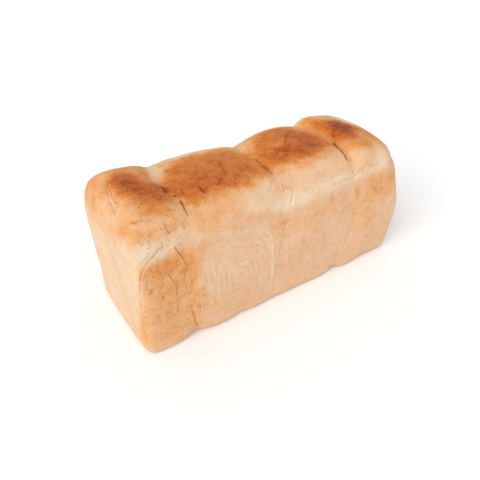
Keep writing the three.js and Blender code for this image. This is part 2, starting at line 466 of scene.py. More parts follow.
    def seam_press(self, points: np.ndarray, nominal: np.ndarray, normals: np.ndarray) -> np.ndarray:
        """Works out how far the seams press the crust in.

        Args:
            points: Points of the block in metres, one row each.
            nominal: The nominal X of each.
            normals: The way that the crust faces at each.

        Returns:
            The depth of the seams at each.
        """
        z = points[:, 2]
        on_top = smooth(normals[:, 2], *self.upright_band) * smooth(z, *self.over_rim(self.top_band))
        near_foot = 1 - smooth(z, 0, self.rim_height / 2)
        on_side = self.seam_side_depth + self.seam_foot_depth * near_foot
        to_front = smooth(-points[:, 1] / self.half_width, *self.shoulder_band)
        on_shoulder = blend(1.0, self.shoulder_share, to_front)
        press = np.zeros(len(points))
        for seam in self.seams:
            away = np.hypot(nominal - seam.at, self.valley_round) - self.valley_round
            reach = np.where(nominal < seam.at, seam.reach_near, seam.reach_far)
            valley = fall(away / reach, self.valley_power)
            crease = fall(away / self.crease_width, self.crease_power)
            depth = blend(on_side, seam.depth * on_shoulder, on_top)
            press += depth * blend(valley, crease, self.crease_share)
        return press

    def fold_press(self, points: np.ndarray) -> np.ndarray:
        """Works out how far the folds along the tin's rim press the crust in.

        Args:
            points: Points of the block in metres, one row each.

        Returns:
            The depth of the folds at each.
        """
        x, y, z = points.T
        press = np.zeros(len(points))
        for fold in self.folds:
            along = np.clip((x - fold.start) / (fold.end - fold.start), 0, 1)
            course = blend(fold.start_height, fold.end_height, along)
            across = fall(np.abs(z - course) / self.fold_half_width, self.fold_power)
            ends = smooth(x, fold.start, fold.start + self.fold_fade)
            ends *= 1 - smooth(x, fold.end - self.fold_fade, fold.end)
            press += np.where(y * fold.side < self.half_width / 2, 0, fold.depth * across * ends)
        return press

    def lump(self, points: np.ndarray) -> np.ndarray:
        """Works out the gentle lumps of the crust.

        Args:
            points: Points of the block in metres, one row each.

        Returns:
            How far a lump stands out at each.
        """
        x, y, z = points.T
        along, across, up = self.lump_pitch
        first, second, third = self.lump_phases
        broad = np.sin(x / along + first) * np.sin(z / up + y / across + second)
        narrow = np.sin(x / (self.narrow_pitch * along) - z / up) * np.sin(y / across + third)
        broad_share, narrow_share = self.lump_shares
        return self.lump_height * (broad_share * broad + narrow_share * narrow)

    def wrap(self, cube: np.ndarray) -> tuple[np.ndarray, np.ndarray]:
        """Moves the points of a cube of edge 2 onto the block with its lobes.

        Args:
            cube: Points on the cube, one row each.

        Returns:
            The moved points, in metres, and the nominal X of each.
        """
        nominal = self.column_x((cube[:, 0] + 1) / 2)
        height = self.row_z((cube[:, 2] + 1) / 2)
        block = np.stack([nominal, cube[:, 1] * self.half_width, height], axis=1)
        points = self.round_block(block)
        self.shape_walls(points)
        points[:, 2] += self.dome_rise(points, nominal)
        points[:, 0] += self.seam_bend(points, nominal)
        points[:, 1] *= 1 - self.foot_gap(points) / self.half_width
        return points, nominal


# ---- Marks in the crust ------------------------------------------------------------

class Face(Enum):
    """A side of the loaf, as the axis it faces along and the sense."""

    TOP = (2, 1.0)
    FRONT = (1, -1.0)
    BACK = (1, 1.0)
    NEAR_END = (0, -1.0)
    FAR_END = (0, 1.0)


@dataclass(frozen=True)
class Furrow:
    """A crack or crease in the crust.

    course gives a few places along it, in millimetres: X and Y on the top, X and Z on
    a long side, Y and Z on an end. width is half its width, wander is how far it
    strays, and dark is how dark its bottom is, 0 to 1: painted shade in the furrow. lip
    is the height of its raised edges as a share of its depth. step is how far the skin
    on the left of its course stands above the skin on the right. broken is how much of
    it stays closed, 0 to 1, and fade is how open its last place is beside its first.
    """

    name: str
    face: Face
    course: tuple[Pair, ...]
    width: float = 0.8 * MM
    depth: float = 0.8 * MM
    dark: float = 0.5
    wander: float = 0.8 * MM
    lip: float = 0.25
    step: float = 0.0
    broken: float = 0.3
    fade: float = 1.0


CRACKS: tuple[Furrow, ...] = (
    # The near lobe
    Furrow("near_tear", Face.TOP, ((-126, 17), (-129, 3), (-131, -6), (-132, -11), (-132, -16),
            (-132, -21)), 1.2 * MM, 1.0 * MM, 0.26, 1.0 * MM, step=1.2 * MM),
    Furrow("near_tear_ridge", Face.TOP, ((-121, 22), (-125, 13), (-126, 5), (-128, -7), (-128, -15)),
           1.0 * MM, 0.6 * MM, 0.1, 1.0 * MM, step=-0.8 * MM),
    Furrow("near_tear_top", Face.TOP, ((-126, 24), (-130, 15), (-133, 7)),
           0.8 * MM, 0.5 * MM, 0.16, step=0.4 * MM),
    Furrow("near_tear_branch", Face.TOP, ((-126, 17), (-119, 13)), 1.1 * MM, 0.5 * MM, 0.34),
    Furrow("near_shoulder_crease", Face.TOP, ((-130, -35), (-126, -40), (-120, -42), (-114, -45)),
           1.1 * MM, 0.7 * MM, 0.16, 0.9 * MM, step=0.6 * MM),
    Furrow("near_shoulder_nick", Face.TOP, ((-129, -38), (-126, -41), (-123, -42)),
           1.2 * MM, 0.9 * MM, 0.4),
    Furrow("near_shoulder_crack", Face.FRONT, ((-107, 125), (-105, 119), (-103, 113)),
           0.9 * MM, 0.8 * MM, 0.3, step=0.4 * MM),
    Furrow("near_corner_crease", Face.NEAR_END, ((-35, 111), (-46, 107), (-48, 98), (-48, 90), (-49, 72)),
           0.9 * MM, 0.6 * MM, 0.14, 0.9 * MM, step=0.4 * MM),
    Furrow("pillow_edge", Face.FRONT, ((-136, 30), (-136, 56), (-135, 77), (-132, 91), (-127, 97),
            (-120, 101), (-115, 104), (-109, 108)), 1.0 * MM, 0.7 * MM, 0.24, 0.6 * MM, step=-1.0 * MM),
    Furrow("near_side_crack", Face.FRONT, ((-111, 83), (-109, 77), (-106, 68), (-106, 59), (-107, 49),
            (-107, 39)), 0.7 * MM, 0.7 * MM, 0.32, 0.6 * MM, step=0.3 * MM, broken=0.5),
    Furrow("near_side_smear", Face.FRONT, ((-96, 81), (-97, 73), (-98, 64)), 1.7 * MM, 0.4 * MM, 0.16),
    # The valley between the first two lobes
    Furrow("valley_nick_high", Face.TOP, ((-86, -3), (-87, -9), (-88, -16)),
           1.4 * MM, 1.4 * MM, 0.95, 0.4 * MM, broken=0.1),
    Furrow("valley_nick_low", Face.TOP, ((-84, -19), (-84, -24)),
           1.2 * MM, 1.0 * MM, 0.7, 0.3 * MM, broken=0.0),
    Furrow("valley_slit", Face.TOP, ((-83, -28), (-84, -36), (-85, -41), (-85, -46)),
           1.3 * MM, 1.4 * MM, 0.95, 0.5 * MM, step=0.5 * MM, broken=0.15, fade=0.4),
    Furrow("valley_slit_end", Face.FRONT, ((-91, 120), (-91, 111)), 1.5 * MM, 0.6 * MM, 0.22),
    Furrow("valley_side_top", Face.FRONT, ((-102.5, 104), (-100, 97), (-97, 91), (-95, 84), (-94, 77)),
           0.9 * MM, 1.0 * MM, 0.52, 0.5 * MM, step=0.4 * MM, broken=0.25, fade=0.25),
    Furrow("valley_side_mid", Face.FRONT, ((-92, 70), (-92, 58)), 1.1 * MM, 0.5 * MM, 0.18),
    Furrow("valley_side_low", Face.FRONT, ((-95, 34), (-93, 24), (-91, 10)),
           0.8 * MM, 0.9 * MM, 0.36, 0.6 * MM, step=-0.6 * MM, broken=0.4),
    # The second lobe
    Furrow("crown_fork", Face.TOP, ((-27, 10), (-30, -5), (-34, -18)),
           0.9 * MM, 0.7 * MM, 0.46, 0.6 * MM, step=0.5 * MM),
    Furrow("crown_fork_low", Face.TOP, ((-36, -18), (-43, -22), (-50, -30)), 0.9 * MM, 0.5 * MM, 0.34),
    Furrow("crown_hook", Face.TOP, ((-40, 6), (-33, 12), (-27, 10)), 0.8 * MM, 0.5 * MM, 0.3),
    Furrow("crown_cut", Face.TOP, ((-62, -21), (-63, -33)),
           1.2 * MM, 1.1 * MM, 0.85, 0.4 * MM, broken=0.1),
    Furrow("crown_line", Face.TOP, ((-45, 14), (-52, 0), (-57, -10)), 0.8 * MM, 0.4 * MM, 0.22),
    Furrow("crown_scratch", Face.TOP, ((-74, -14), (-78, -25)), 0.9 * MM, 0.6 * MM, 0.36),
    Furrow("swirl_side", Face.FRONT, ((-14, 34), (-12.5, 20), (-12, 8)), 0.9 * MM, 0.5 * MM, 0.14),
    # The valley in the middle
    Furrow("middle_slit", Face.TOP, ((5, 2), (5, -14), (4, -22), (3, -33)),
           1.0 * MM, 1.0 * MM, 0.55, 0.6 * MM, step=0.5 * MM, broken=0.3),
    Furrow("middle_hair", Face.TOP, ((3, -35), (-2, -38), (-6, -42), (-9, -45)),
           1.2 * MM, 0.5 * MM, 0.16),
    Furrow("middle_tear", Face.FRONT, ((3, 117), (5, 114), (10, 110)),
           1.1 * MM, 0.7 * MM, 0.22, broken=0.5),
    Furrow("middle_fold", Face.FRONT, ((9, 115), (12, 109), (8, 103), (6, 97)),
           1.8 * MM, 0.6 * MM, 0.10, step=0.2 * MM),
    Furrow("middle_smudge", Face.FRONT, ((17, 118), (12, 115)), 1.3 * MM, 0.4 * MM, 0.16),
    Furrow("middle_side", Face.FRONT, ((3, 88), (-4, 66), (-8, 46), (-10, 28)),
           2.0 * MM, 0.3 * MM, 0.04, broken=0.6),
    # The third lobe
    Furrow("third_nick", Face.TOP, ((52, 17), (44, 7), (36, -2)),
           0.8 * MM, 0.5 * MM, 0.42, step=0.4 * MM),
    Furrow("third_line", Face.TOP, ((30, 8), (37, 9), (43, 7)), 0.7 * MM, 0.4 * MM, 0.3),
    Furrow("third_scratch", Face.FRONT, ((18, 48), (24, 54)), 0.9 * MM, 0.5 * MM, 0.16),
    Furrow("third_streak", Face.FRONT, ((51, 97), (53, 85)), 1.8 * MM, 0.4 * MM, 0.12),
    Furrow("third_streak_low", Face.FRONT, ((60, 94), (61, 86)), 1.3 * MM, 0.4 * MM, 0.16),
    Furrow("tin_line_third", Face.FRONT, ((20, 107), (30, 107), (38, 106), (41, 101)),
           1.3 * MM, 0.6 * MM, 0.1, 1.2 * MM, broken=0.8),
    Furrow("tin_line", Face.FRONT, ((52, 102), (60, 104), (66, 103), (71, 101.5), (78, 102), (84, 105),
            (90, 106)), 2.0 * MM, 0.7 * MM, 0.13, 1.6 * MM, step=0.15 * MM, broken=0.95),
    Furrow("tin_line_far", Face.FRONT, ((96, 106), (105, 107), (110, 106)),
           1.8 * MM, 0.4 * MM, 0.08, 1.6 * MM, broken=0.95),
    # The valley before the far lobe
    Furrow("far_slit", Face.TOP, ((85, -12), (80.5, -22), (78, -30), (75.5, -37), (75, -46)),
           1.7 * MM, 1.5 * MM, 0.92, 0.6 * MM, step=0.6 * MM, broken=0.15, fade=0.6),
    Furrow("far_side", Face.FRONT, ((78, 67), (78, 52), (71, 34), (67, 14)),
           2.0 * MM, 0.3 * MM, 0.04, broken=0.6),
    Furrow("far_streak", Face.FRONT, ((80, 94), (81, 77)), 1.6 * MM, 0.5 * MM, 0.14),
    Furrow("far_brow", Face.TOP, ((88, -3), (89, -12)), 1.1 * MM, 0.6 * MM, 0.4),
    Furrow("far_scratch", Face.TOP, ((102, -18), (97, -25)), 0.9 * MM, 0.6 * MM, 0.5),
)


PIT_HALF_LENGTH = (0.5, 0.4)  # of a pit, along each axis of its face, in millimetres
FINE_WIDTH = (0.6, 1.0)  # of a strewn mark, in millimetres
FINE_DEPTH = (0.4, 0.8)  # the same


@dataclass(frozen=True)
class Pits:
    """Round pits at given places of one face, in millimetres as a Furrow's course is."""

    face: Face
    places: tuple[Pair, ...]
    width: float = 1.0 * MM
    depth: float = 0.7 * MM
    dark: float = 0.42

    def furrows(self) -> list[Furrow]:
        """Makes the pits.

        Returns:
            Each pit, as a furrow hardly longer than it is wide.
        """
        da, db = PIT_HALF_LENGTH
        return [
            Furrow(f"pit_{self.face.name.lower()}_{i}", self.face, ((a - da, b - db), (a + da, b + db)),
                   self.width, self.depth, self.dark, wander=0.0, broken=0.0)
            for i, (a, b) in enumerate(self.places)
        ]


PITS: tuple[Pits, ...] = (
    Pits(Face.FRONT, ((-109, 120), (-128, 117), (-119, 118), (-123, 110), (-111, 109), (-104, 121)),
         dark=0.34),
    Pits(Face.TOP, ((-126, -39), (-115, -44)), dark=0.3),
    Pits(Face.FRONT, ((-52, 69), (-55, 46), (-56, 53), (-57, 89)), dark=0.42),
    Pits(Face.FRONT, ((-50, 62), (-42, 36), (-24, 60), (-21, 54), (-13, 58), (-38, 51), (-30, 66)),
         dark=0.24),
    Pits(Face.FRONT, ((79, 54), (60, 92), (71, 101), (54, 103), (20, 77)), 1.2 * MM, dark=0.26),
    Pits(Face.TOP, ((-82, 14), (-83, 9), (-72, 28), (-80, -2)), dark=0.5),
)


@dataclass(frozen=True)
class Shreds:
    """Short torn lines that are strewn along a course, where the skin was pulled apart.

    spread is how far they stray from the course and turn how far they turn from it, in
    millimetres and degrees. A pair gives the least and the most of what it names.
    """

    face: Face
    course: tuple[Pair, ...]
    count: int
    spread: float = 1.6
    length: Pair = (1.5, 5.0)
    turn: float = 28.0
    dark: Pair = (0.15, 0.42)
    wander: float = 0.3 * MM
    step: Pair = (-0.3, 0.3)
    seed: int = 1

    def furrows(self) -> list[Furrow]:
        """Draws the torn lines.

        Returns:
            Each line, as a short furrow.
        """
        draw = np.random.default_rng(self.seed)
        course = np.array(self.course, dtype=float)
        length = reach_of(course)[-1]
        made = []
        for i in range(self.count):
            at = draw.uniform(0, length)
            a, b = follow(course, at)
            ahead_a, ahead_b = follow(course, at + 1) - follow(course, at - 1)
            angle = math.atan2(ahead_b, ahead_a) + math.radians(draw.normal(0, self.turn))
            off = draw.normal(0, self.spread)
            a, b = a - off * math.sin(angle), b + off * math.cos(angle)
            half = 0.5 * draw.uniform(*self.length)
            da, db = half * math.cos(angle), half * math.sin(angle)
            made.append(Furrow(
                f"shred_{self.face.name.lower()}_{self.seed}_{i}",
                self.face,
                ((a - da, b - db), (a + da, b + db)),
                width=draw.uniform(*FINE_WIDTH) * MM,
                depth=draw.uniform(*FINE_DEPTH) * MM,
                dark=draw.uniform(*self.dark),
                wander=self.wander,
                step=draw.uniform(*self.step) * MM,
            ))
        return made


SHREDS: tuple[Shreds, ...] = (
    Shreds(Face.FRONT, ((30, 108), (54, 104), (75, 102), (98, 107), (110, 107)),
           14, 2.4, dark=(0.04, 0.16), seed=41),
    Shreds(Face.FRONT, ((-128, 114), (-114, 112), (-100, 114), (-92, 116)),
           12, 3.5, (1.5, 5.0), 40, (0.06, 0.24), seed=42),
    Shreds(Face.FRONT, ((-136, 99), (-124, 104), (-110, 108), (-96, 108)),
           16, 3.5, (3.0, 8.0), 28, (0.0, 0.12), seed=47),
    Shreds(Face.FRONT, ((-93, 84), (-95, 60), (-92, 34), (-90, 8)),
           24, 4.0, (2.5, 8.0), 12, (0.02, 0.18), seed=48),
    Shreds(Face.FRONT, ((-4, 114), (8, 112), (20, 113)), 9, 3.0, (1.5, 5.0), 50, (0.04, 0.18), seed=43),
    Shreds(Face.FRONT, ((0, 90), (-6, 60), (-10, 20)), 14, 3.0, (2.0, 7.0), 15, (0.02, 0.14), seed=49),
    Shreds(Face.FRONT, ((80, 94), (76, 60), (68, 20)), 18, 4.5, (2.0, 8.0), 15, (0.02, 0.16), seed=50),
    Shreds(Face.FRONT, ((48, 94), (44, 20)), 14, 16.0, (2.0, 7.0), 30, (0.02, 0.14), seed=52),
    Shreds(Face.TOP, ((-90, 30), (-84, 10), (-80, 24)), 8, 3.0, (1.0, 3.5), 40, (0.15, 0.35), seed=44),
    Shreds(Face.NEAR_END, ((-46, 104), (-49, 60), (-48, 24)),
           12, 3.0, (4.0, 12.0), 8, (0.02, 0.12), seed=51),
    Shreds(Face.NEAR_END, ((10, 100), (10, 20)), 14, 22.0, (3.0, 10.0), 25, (0.0, 0.08), seed=53),
    Shreds(Face.BACK, ((-80, 108), (-30, 105), (20, 108), (70, 104)), 30, dark=(0.05, 0.24), seed=45),
    Shreds(Face.BACK, ((-90, 92), (-92, 10)), 16, 4.0, (2.5, 8.0), 12, (0.02, 0.16), seed=54),
    Shreds(Face.BACK, ((4, 92), (-6, 12)), 14, 4.0, (2.5, 8.0), 12, (0.02, 0.16), seed=55),
    Shreds(Face.BACK, ((80, 92), (72, 12)), 14, 4.0, (2.5, 8.0), 12, (0.02, 0.16), seed=56),
    Shreds(Face.FAR_END, ((-40, 104), (0, 108), (40, 103)), 12, dark=(0.05, 0.24), seed=46),
)


@dataclass(frozen=True)
class Nicks:
    """Small pits and nicks that are strewn over an area of one face, in millimetres."""

    face: Face
    area: tuple[Pair, Pair]
    count: int
    length: Pair = (0.6, 2.4)
    dark: Pair = (0.25, 0.6)
    seed: int = 1

    def furrows(self) -> list[Furrow]:
        """Draws the nicks.

        Returns:
            Each nick, as a very short furrow.
        """
        draw = np.random.default_rng(self.seed)
        (low_a, high_a), (low_b, high_b) = self.area
        made = []
        for i in range(self.count):
            a, b = draw.uniform(low_a, high_a), draw.uniform(low_b, high_b)
            length, angle = draw.uniform(*self.length), draw.uniform(0, math.pi)
            da, db = 0.5 * length * math.cos(angle), 0.5 * length * math.sin(angle)
            made.append(Furrow(
                f"nick_{self.face.name.lower()}_{i}",
                self.face,
                ((a - da, b - db), (a + da, b + db)),
                width=draw.uniform(*FINE_WIDTH) * MM,
                depth=draw.uniform(*FINE_DEPTH) * MM,
                dark=draw.uniform(*self.dark),
                wander=0.0,
            ))
        return made


NICKS: tuple[Nicks, ...] = (
    Nicks(Face.FRONT, ((-78, -20), (10, 96)), 16, dark=(0.12, 0.3), seed=11),
    Nicks(Face.FRONT, ((-132, -98), (8, 92)), 16, dark=(0.2, 0.4), seed=12),
    Nicks(Face.FRONT, ((-132, -96), (8, 92)), 36, (1.5, 5.0), (0.04, 0.16), seed=19),
    Nicks(Face.FRONT, ((-5, 130), (8, 92)), 26, dark=(0.12, 0.3), seed=13),
    Nicks(Face.FRONT, ((-5, 130), (8, 92)), 40, (1.5, 5.0), (0.03, 0.14), seed=20),
    Nicks(Face.TOP, ((-128, 128), (-44, 44)), 60, dark=(0.15, 0.45), seed=15),
    Nicks(Face.TOP, ((-80, -14), (-36, -18)), 34, (0.8, 3.0), (0.16, 0.4), seed=21),
    Nicks(Face.TOP, ((-124, -92), (-46, -26)), 24, (0.8, 3.0), (0.08, 0.26), seed=22),
    Nicks(Face.TOP, ((-78, 76), (-30, 30)), 44, (1.0, 4.0), (0.1, 0.3), seed=23),
    Nicks(Face.NEAR_END, ((-46, 46), (8, 112)), 14, seed=16, dark=(0.1, 0.25)),
    Nicks(Face.FAR_END, ((-46, 46), (8, 112)), 26, dark=(0.12, 0.36), seed=17),
    Nicks(Face.BACK, ((-130, 130), (8, 112)), 70, dark=(0.12, 0.4), seed=18),
)


# ---- Browning ----------------------------------------------------------------------

@dataclass(frozen=True)
class Patch:
    """A soft-edged patch of the crust that took one level of browning, or that holds a painted highlight.

    centre and radii are in millimetres in the plane of the face, as a Furrow's course
    is. level runs from 0, cream, to 1, dark brown. turn is in degrees, soft is the
    width of the edge as a share of the radii, and power squares the outline off.
    """

    name: str
    face: Face
    centre: Pair
    radii: Pair
    level: float
    soft: float = 0.35
    turn: float = 0.0
    strength: float = 1.0
    power: float = 2.0

    def cover(self, a: np.ndarray, b: np.ndarray) -> np.ndarray:
        """Works out how far the patch covers places in the plane of its face.

        Args:
            a: The first coordinate of each place, in millimetres.
            b: The second.

        Returns:
            1 well inside the patch and 0 outside its soft edge.
        """
        turn = math.radians(self.turn)
        da, db = a - self.centre[0], b - self.centre[1]
        u = np.abs(da * math.cos(turn) + db * math.sin(turn)) / self.radii[0]
        v = np.abs(db * math.cos(turn) - da * math.sin(turn)) / self.radii[1]
        return 1 - smooth(squared_off(u, v, self.power), 1 - self.soft, 1 + self.soft)


PATCHES: tuple[Patch, ...] = (
    # The near end stood against the tin and stayed pale
    Patch("near_end_field", Face.NEAR_END, (4, 56), (46, 48), 0.20, 0.35, power=3),
    Patch("near_end_top", Face.NEAR_END, (4, 120), (44, 14), 0.40, 0.7),
    Patch("near_end_gold", Face.NEAR_END, (27, 118), (13, 9), 0.50, 0.9),
    Patch("near_end_peach", Face.NEAR_END, (-12, 62), (7, 36), 0.29, 0.9, -23),
    Patch("near_end_pale", Face.NEAR_END, (-37, 84), (8, 28), 0.17, 0.8),
    Patch("near_end_corner", Face.NEAR_END, (-38, 108), (9, 13), 0.14, 0.8),
    Patch("near_end_foot", Face.NEAR_END, (0, 4), (50, 12), 0.26, 0.6),
    Patch("near_end_corner_gold", Face.NEAR_END, (-52, 26), (8, 34), 0.50, 0.8),
    # The front wall, from the near lobe to the far one
    Patch("near_wall", Face.FRONT, (-107.5, 50), (28, 46), 0.46, 0.28, power=4),
    Patch("near_wall_low", Face.FRONT, (-108, 14), (22, 12), 0.45, 0.7),
    Patch("near_wall_top", Face.FRONT, (-113, 87), (15, 9), 0.58, 0.7),
    Patch("near_wall_seam", Face.FRONT, (-93, 82), (6, 14), 0.58, 0.8),
    Patch("near_wall_seam_low", Face.FRONT, (-88, 20), (7, 14), 0.46, 0.8),
    Patch("swirl_edge_near", Face.FRONT, (-79, 92), (7, 8), 0.47, 0.9),
    # painted highlight down the rounded near corner of the front wall
    Patch("near_corner_edge", Face.FRONT, (-138, 74), (4, 24), 0.22, 0.5, power=3),
    Patch("near_corner_cream", Face.FRONT, (-127, 106), (14, 8), 0.08, 0.6, -12),
    Patch("near_corner_cream_in", Face.FRONT, (-108, 107), (9, 5), 0.19, 0.7),
    Patch("notch_cream", Face.FRONT, (-93, 107), (10, 7), 0.18, 0.8),
    Patch("near_shoulder", Face.FRONT, (-109, 119), (11, 4), 0.47, 0.8, 4),
    Patch("swirl_field", Face.FRONT, (-47.5, 49), (34, 46), 0.29, 0.16, power=4.0),
    Patch("swirl_edge_top", Face.FRONT, (-50, 103), (34, 6), 0.37, 0.8, -4),
    Patch("swirl_foot", Face.FRONT, (-54, 17), (24, 14), 0.38, 0.9),
    Patch("middle_wall_top", Face.FRONT, (0, 80), (15, 12), 0.42, 0.9),
    Patch("third_wall_top", Face.FRONT, (36, 82), (32, 10), 0.40, 0.9, -2),
    Patch("far_wall_top", Face.FRONT, (110, 84), (22, 13), 0.50, 0.7, -8),
    Patch("far_wall_low", Face.FRONT, (100, 28), (30, 26), 0.34, 0.9),
    Patch("far_wall_middle", Face.FRONT, (92, 62), (16, 18), 0.41, 0.9),
    Patch("front_foot", Face.FRONT, (0, 2), (150, 9), 0.30, 0.9, power=3),
    Patch("far_corner_edge", Face.FRONT, (135, 46), (7, 36), 0.22, 0.8),
    Patch("far_seam_tan", Face.FRONT, (80.5, 84), (2.5, 10), 0.50, 1.0),
    Patch("far_seam_tan_low", Face.FRONT, (79, 62), (2.5, 8), 0.42, 1.0),
    Patch("middle_band", Face.FRONT, (-2, 107), (30, 8.5), 0.05, 0.55, -12, power=2.5),
    Patch("third_band", Face.FRONT, (46, 105), (36, 6.5), 0.14, 0.8, -2, power=2.5),
    Patch("far_band", Face.FRONT, (96, 108), (30, 7), 0.14, 0.7, 4, power=2.5),
    # The back wall and the far end, which is the part least seen
    Patch("back_band", Face.BACK, (-6, 104), (112, 6), 0.14, 0.7, power=3),
    Patch("back_field", Face.BACK, (44, 52), (34, 42), 0.29, 0.2, power=4),
    Patch("back_near", Face.BACK, (-108, 52), (24, 40), 0.44, 0.5, power=3),
    Patch("back_far", Face.BACK, (106, 70), (22, 26), 0.45, 0.6, power=3),
    Patch("far_end_field", Face.FAR_END, (0, 54), (40, 38), 0.28, 0.5, power=3),
    Patch("far_end_top", Face.FAR_END, (0, 104), (44, 10), 0.36, 0.8),
    # The near lobe's top
    Patch("near_back_cream", Face.TOP, (-90, 50), (20, 10), 0.14, 0.6),
    Patch("near_back_brown", Face.TOP, (-108, 36), (12, 10), 0.56, 0.8),
    Patch("near_rim", Face.TOP, (-133, 0), (6, 50), 0.39, 0.8),
    Patch("near_halo", Face.TOP, (-105.5, -2), (20.5, 39), 0.58, 0.45, 4),
    Patch("near_brown", Face.TOP, (-107, -2), (15.5, 29), 0.80, 0.45, 8),
    Patch("near_dark", Face.TOP, (-105.5, -4), (9, 23), 0.93, 0.7, 20),
    Patch("near_back_gold", Face.TOP, (-131, 30), (8, 20), 0.52, 0.8),
    # The second lobe's top
    Patch("second_halo", Face.TOP, (-38, -4), (46, 38), 0.57, 0.3, power=3),
    Patch("second_brown", Face.TOP, (-40, -4), (42, 30), 0.765, 0.42, -4, power=3),
    Patch("second_dark", Face.TOP, (-54, -18), (26, 13), 0.83, 0.7, -4),
    Patch("second_near_front", Face.TOP, (-68, -35), (9, 6), 0.69, 0.9),
    Patch("second_dark_near", Face.TOP, (-75, -18), (8, 12), 0.85, 0.9),
    Patch("second_near_back", Face.TOP, (-69, 31), (8, 8), 0.42, 0.9),
    # the second lobe's pale back edge, made paler still by a painted highlight
    Patch("second_back_cream", Face.TOP, (-40, 44), (32, 10), 0.06, 0.6),
    # The valley between them: cream at the back, brown over the crest
    Patch("valley_cream", Face.TOP, (-81, 24), (7, 21), 0.24, 0.6, -14),
    Patch("valley_gold", Face.TOP, (-95, 17), (5, 13), 0.60, 0.8),
    Patch("valley_brown", Face.TOP, (-88, -13), (10, 15), 0.82, 0.8),
    Patch("valley_front", Face.TOP, (-87, -38), (8, 10), 0.45, 0.8),
    # The third lobe's top
    Patch("third_halo", Face.TOP, (42, 2), (38, 37), 0.58, 0.3, power=2.6),
    Patch("third_brown", Face.TOP, (42, 1), (36, 28), 0.77, 0.38, power=2.6),
    Patch("third_brown_near", Face.TOP, (18, -3), (10, 9), 0.86, 0.9),
    Patch("third_brown_back", Face.TOP, (48, 26), (12, 8), 0.80, 0.8),
    Patch("middle_valley_cream", Face.TOP, (8, 30), (12, 11), 0.36, 0.8),
    Patch("middle_valley_gold", Face.TOP, (6, -13), (5, 11), 0.68, 0.9),
    Patch("third_dark", Face.TOP, (44, -12), (27, 13), 0.90, 0.6, 2),
    Patch("third_dark_back", Face.TOP, (60, 4), (14, 13), 0.91, 0.8),
    Patch("third_pale_spot", Face.TOP, (31, 8), (6, 5), 0.60, 0.9, strength=0.7),
    Patch("third_back_cream", Face.TOP, (64, 48), (20, 8), 0.16, 0.7),
    # The far lobe's top
    Patch("far_halo", Face.TOP, (101, -4), (20, 40), 0.60, 0.3, -6),
    Patch("far_brown", Face.TOP, (102, 1), (15, 23), 0.80, 0.5, 12),
    Patch("far_brown_back", Face.TOP, (90, 23), (8, 9), 0.73, 0.8),
    Patch("far_brow", Face.TOP, (91, 13), (6, 7), 0.84, 0.9),
    Patch("far_dark", Face.TOP, (102, -2), (10, 15), 1.02, 0.8, -20),
    Patch("far_side_cream", Face.TOP, (126, 22), (10, 28), 0.13, 0.6, 6),
    Patch("far_back_cream", Face.TOP, (117, 38), (14, 9), 0.18, 0.8),
    Patch("far_back_gold", Face.TOP, (108, 29), (11, 10), 0.42, 0.8),
    Patch("far_front_gold", Face.TOP, (124, -22), (15, 16), 0.64, 0.7),
    Patch("far_end_gold", Face.FAR_END, (-28, 108), (13, 11), 0.55, 0.9),
    # The front shoulders
    Patch("middle_shoulder", Face.TOP, (-8, -45), (26, 7), 0.30, 0.8),
    Patch("middle_front_cream", Face.TOP, (1, -38), (7, 8), 0.34, 0.9),
    Patch("far_shoulder", Face.TOP, (86, -47), (16, 7), 0.36, 0.8),
    Patch("third_shoulder", Face.TOP, (42, -43), (26, 6), 0.31, 0.8),
    Patch("near_shoulder_gold", Face.TOP, (-113, -38), (12, 5.5), 0.61, 0.9, -12),
    Patch("near_shoulder_pale", Face.TOP, (-113, -43), (12, 3), 0.40, 0.9, -18),
    Patch("third_shoulder_gold", Face.TOP, (43, -35), (18, 4), 0.52, 0.9),
    Patch("near_corner_gold", Face.FRONT, (-132, 120), (8, 6), 0.54, 0.8, 8),
)


@dataclass
class Browning:
    """How far each place of the crust browned, 0 for cream to 1 for dark brown.

    A warp is the pitch of a noise, and how far it moves the patches' outlines. gates
    say how far out along the axis of its face a patch comes in. Two patches hold painted
    highlight: one down the rounded near corner of the front wall, and one that makes the
    second lobe's pale back edge paler still.
    """

    wall_level: float = 0.315
    top_level: float = 0.44
    base_level: float = 0.40
    base_fade: float = 3 * MM
    wall_top: float = 92 * MM
    top_start: float = 114 * MM
    warps: tuple[Pair, ...] = ((17 * MM, 2.7 * MM), (5 * MM, 0.8 * MM))
    warp_gain: float = 1.6
    warp_seed: float = 2.0
    gates: dict[Face, Pair] = field(default_factory=lambda: {
        Face.TOP: (92 * MM, 114 * MM), Face.FRONT: (16 * MM, 34 * MM), Face.BACK: (16 * MM, 34 * MM),
        Face.NEAR_END: (124 * MM, 136 * MM), Face.FAR_END: (118 * MM, 132 * MM),
    })

    def warped(self, points: np.ndarray) -> np.ndarray:
        """Moves the points about a little, so that no patch keeps a clean outline.

        Args:
            points: Places on the crust in metres, one row each.

        Returns:
            The moved places.
        """
        moved = points.copy()
        for k in range(3):
            for pitch, reach in self.warps:
                moved[:, k] += reach * perlin(points, pitch, self.warp_seed + k) * self.warp_gain
        return moved

    def levels(self, points: np.ndarray) -> np.ndarray:
        """Paints the patches over the ground levels.

        Args:
            points: Places on the crust in metres, one row each.

        Returns:
            The level of browning of each.
        """
        moved = self.warped(points)
        level = blend(self.wall_level, self.top_level, smooth(moved[:, 2], self.wall_top, self.top_start))
        for patch in PATCHES:
            axis, sense = patch.face.value
            mask = patch.cover(*(moved[:, k] / MM for k in range(3) if k != axis))
            mask *= smooth(points[:, axis] * sense, *self.gates[patch.face]) * patch.strength
            level = blend(level, patch.level, mask)
            LOG.debug("painted %s", patch.name)
        return blend(self.base_level, level, smooth(points[:, 2], 0, self.base_fade))


# ---- Relief ------------------------------------------------------------------------

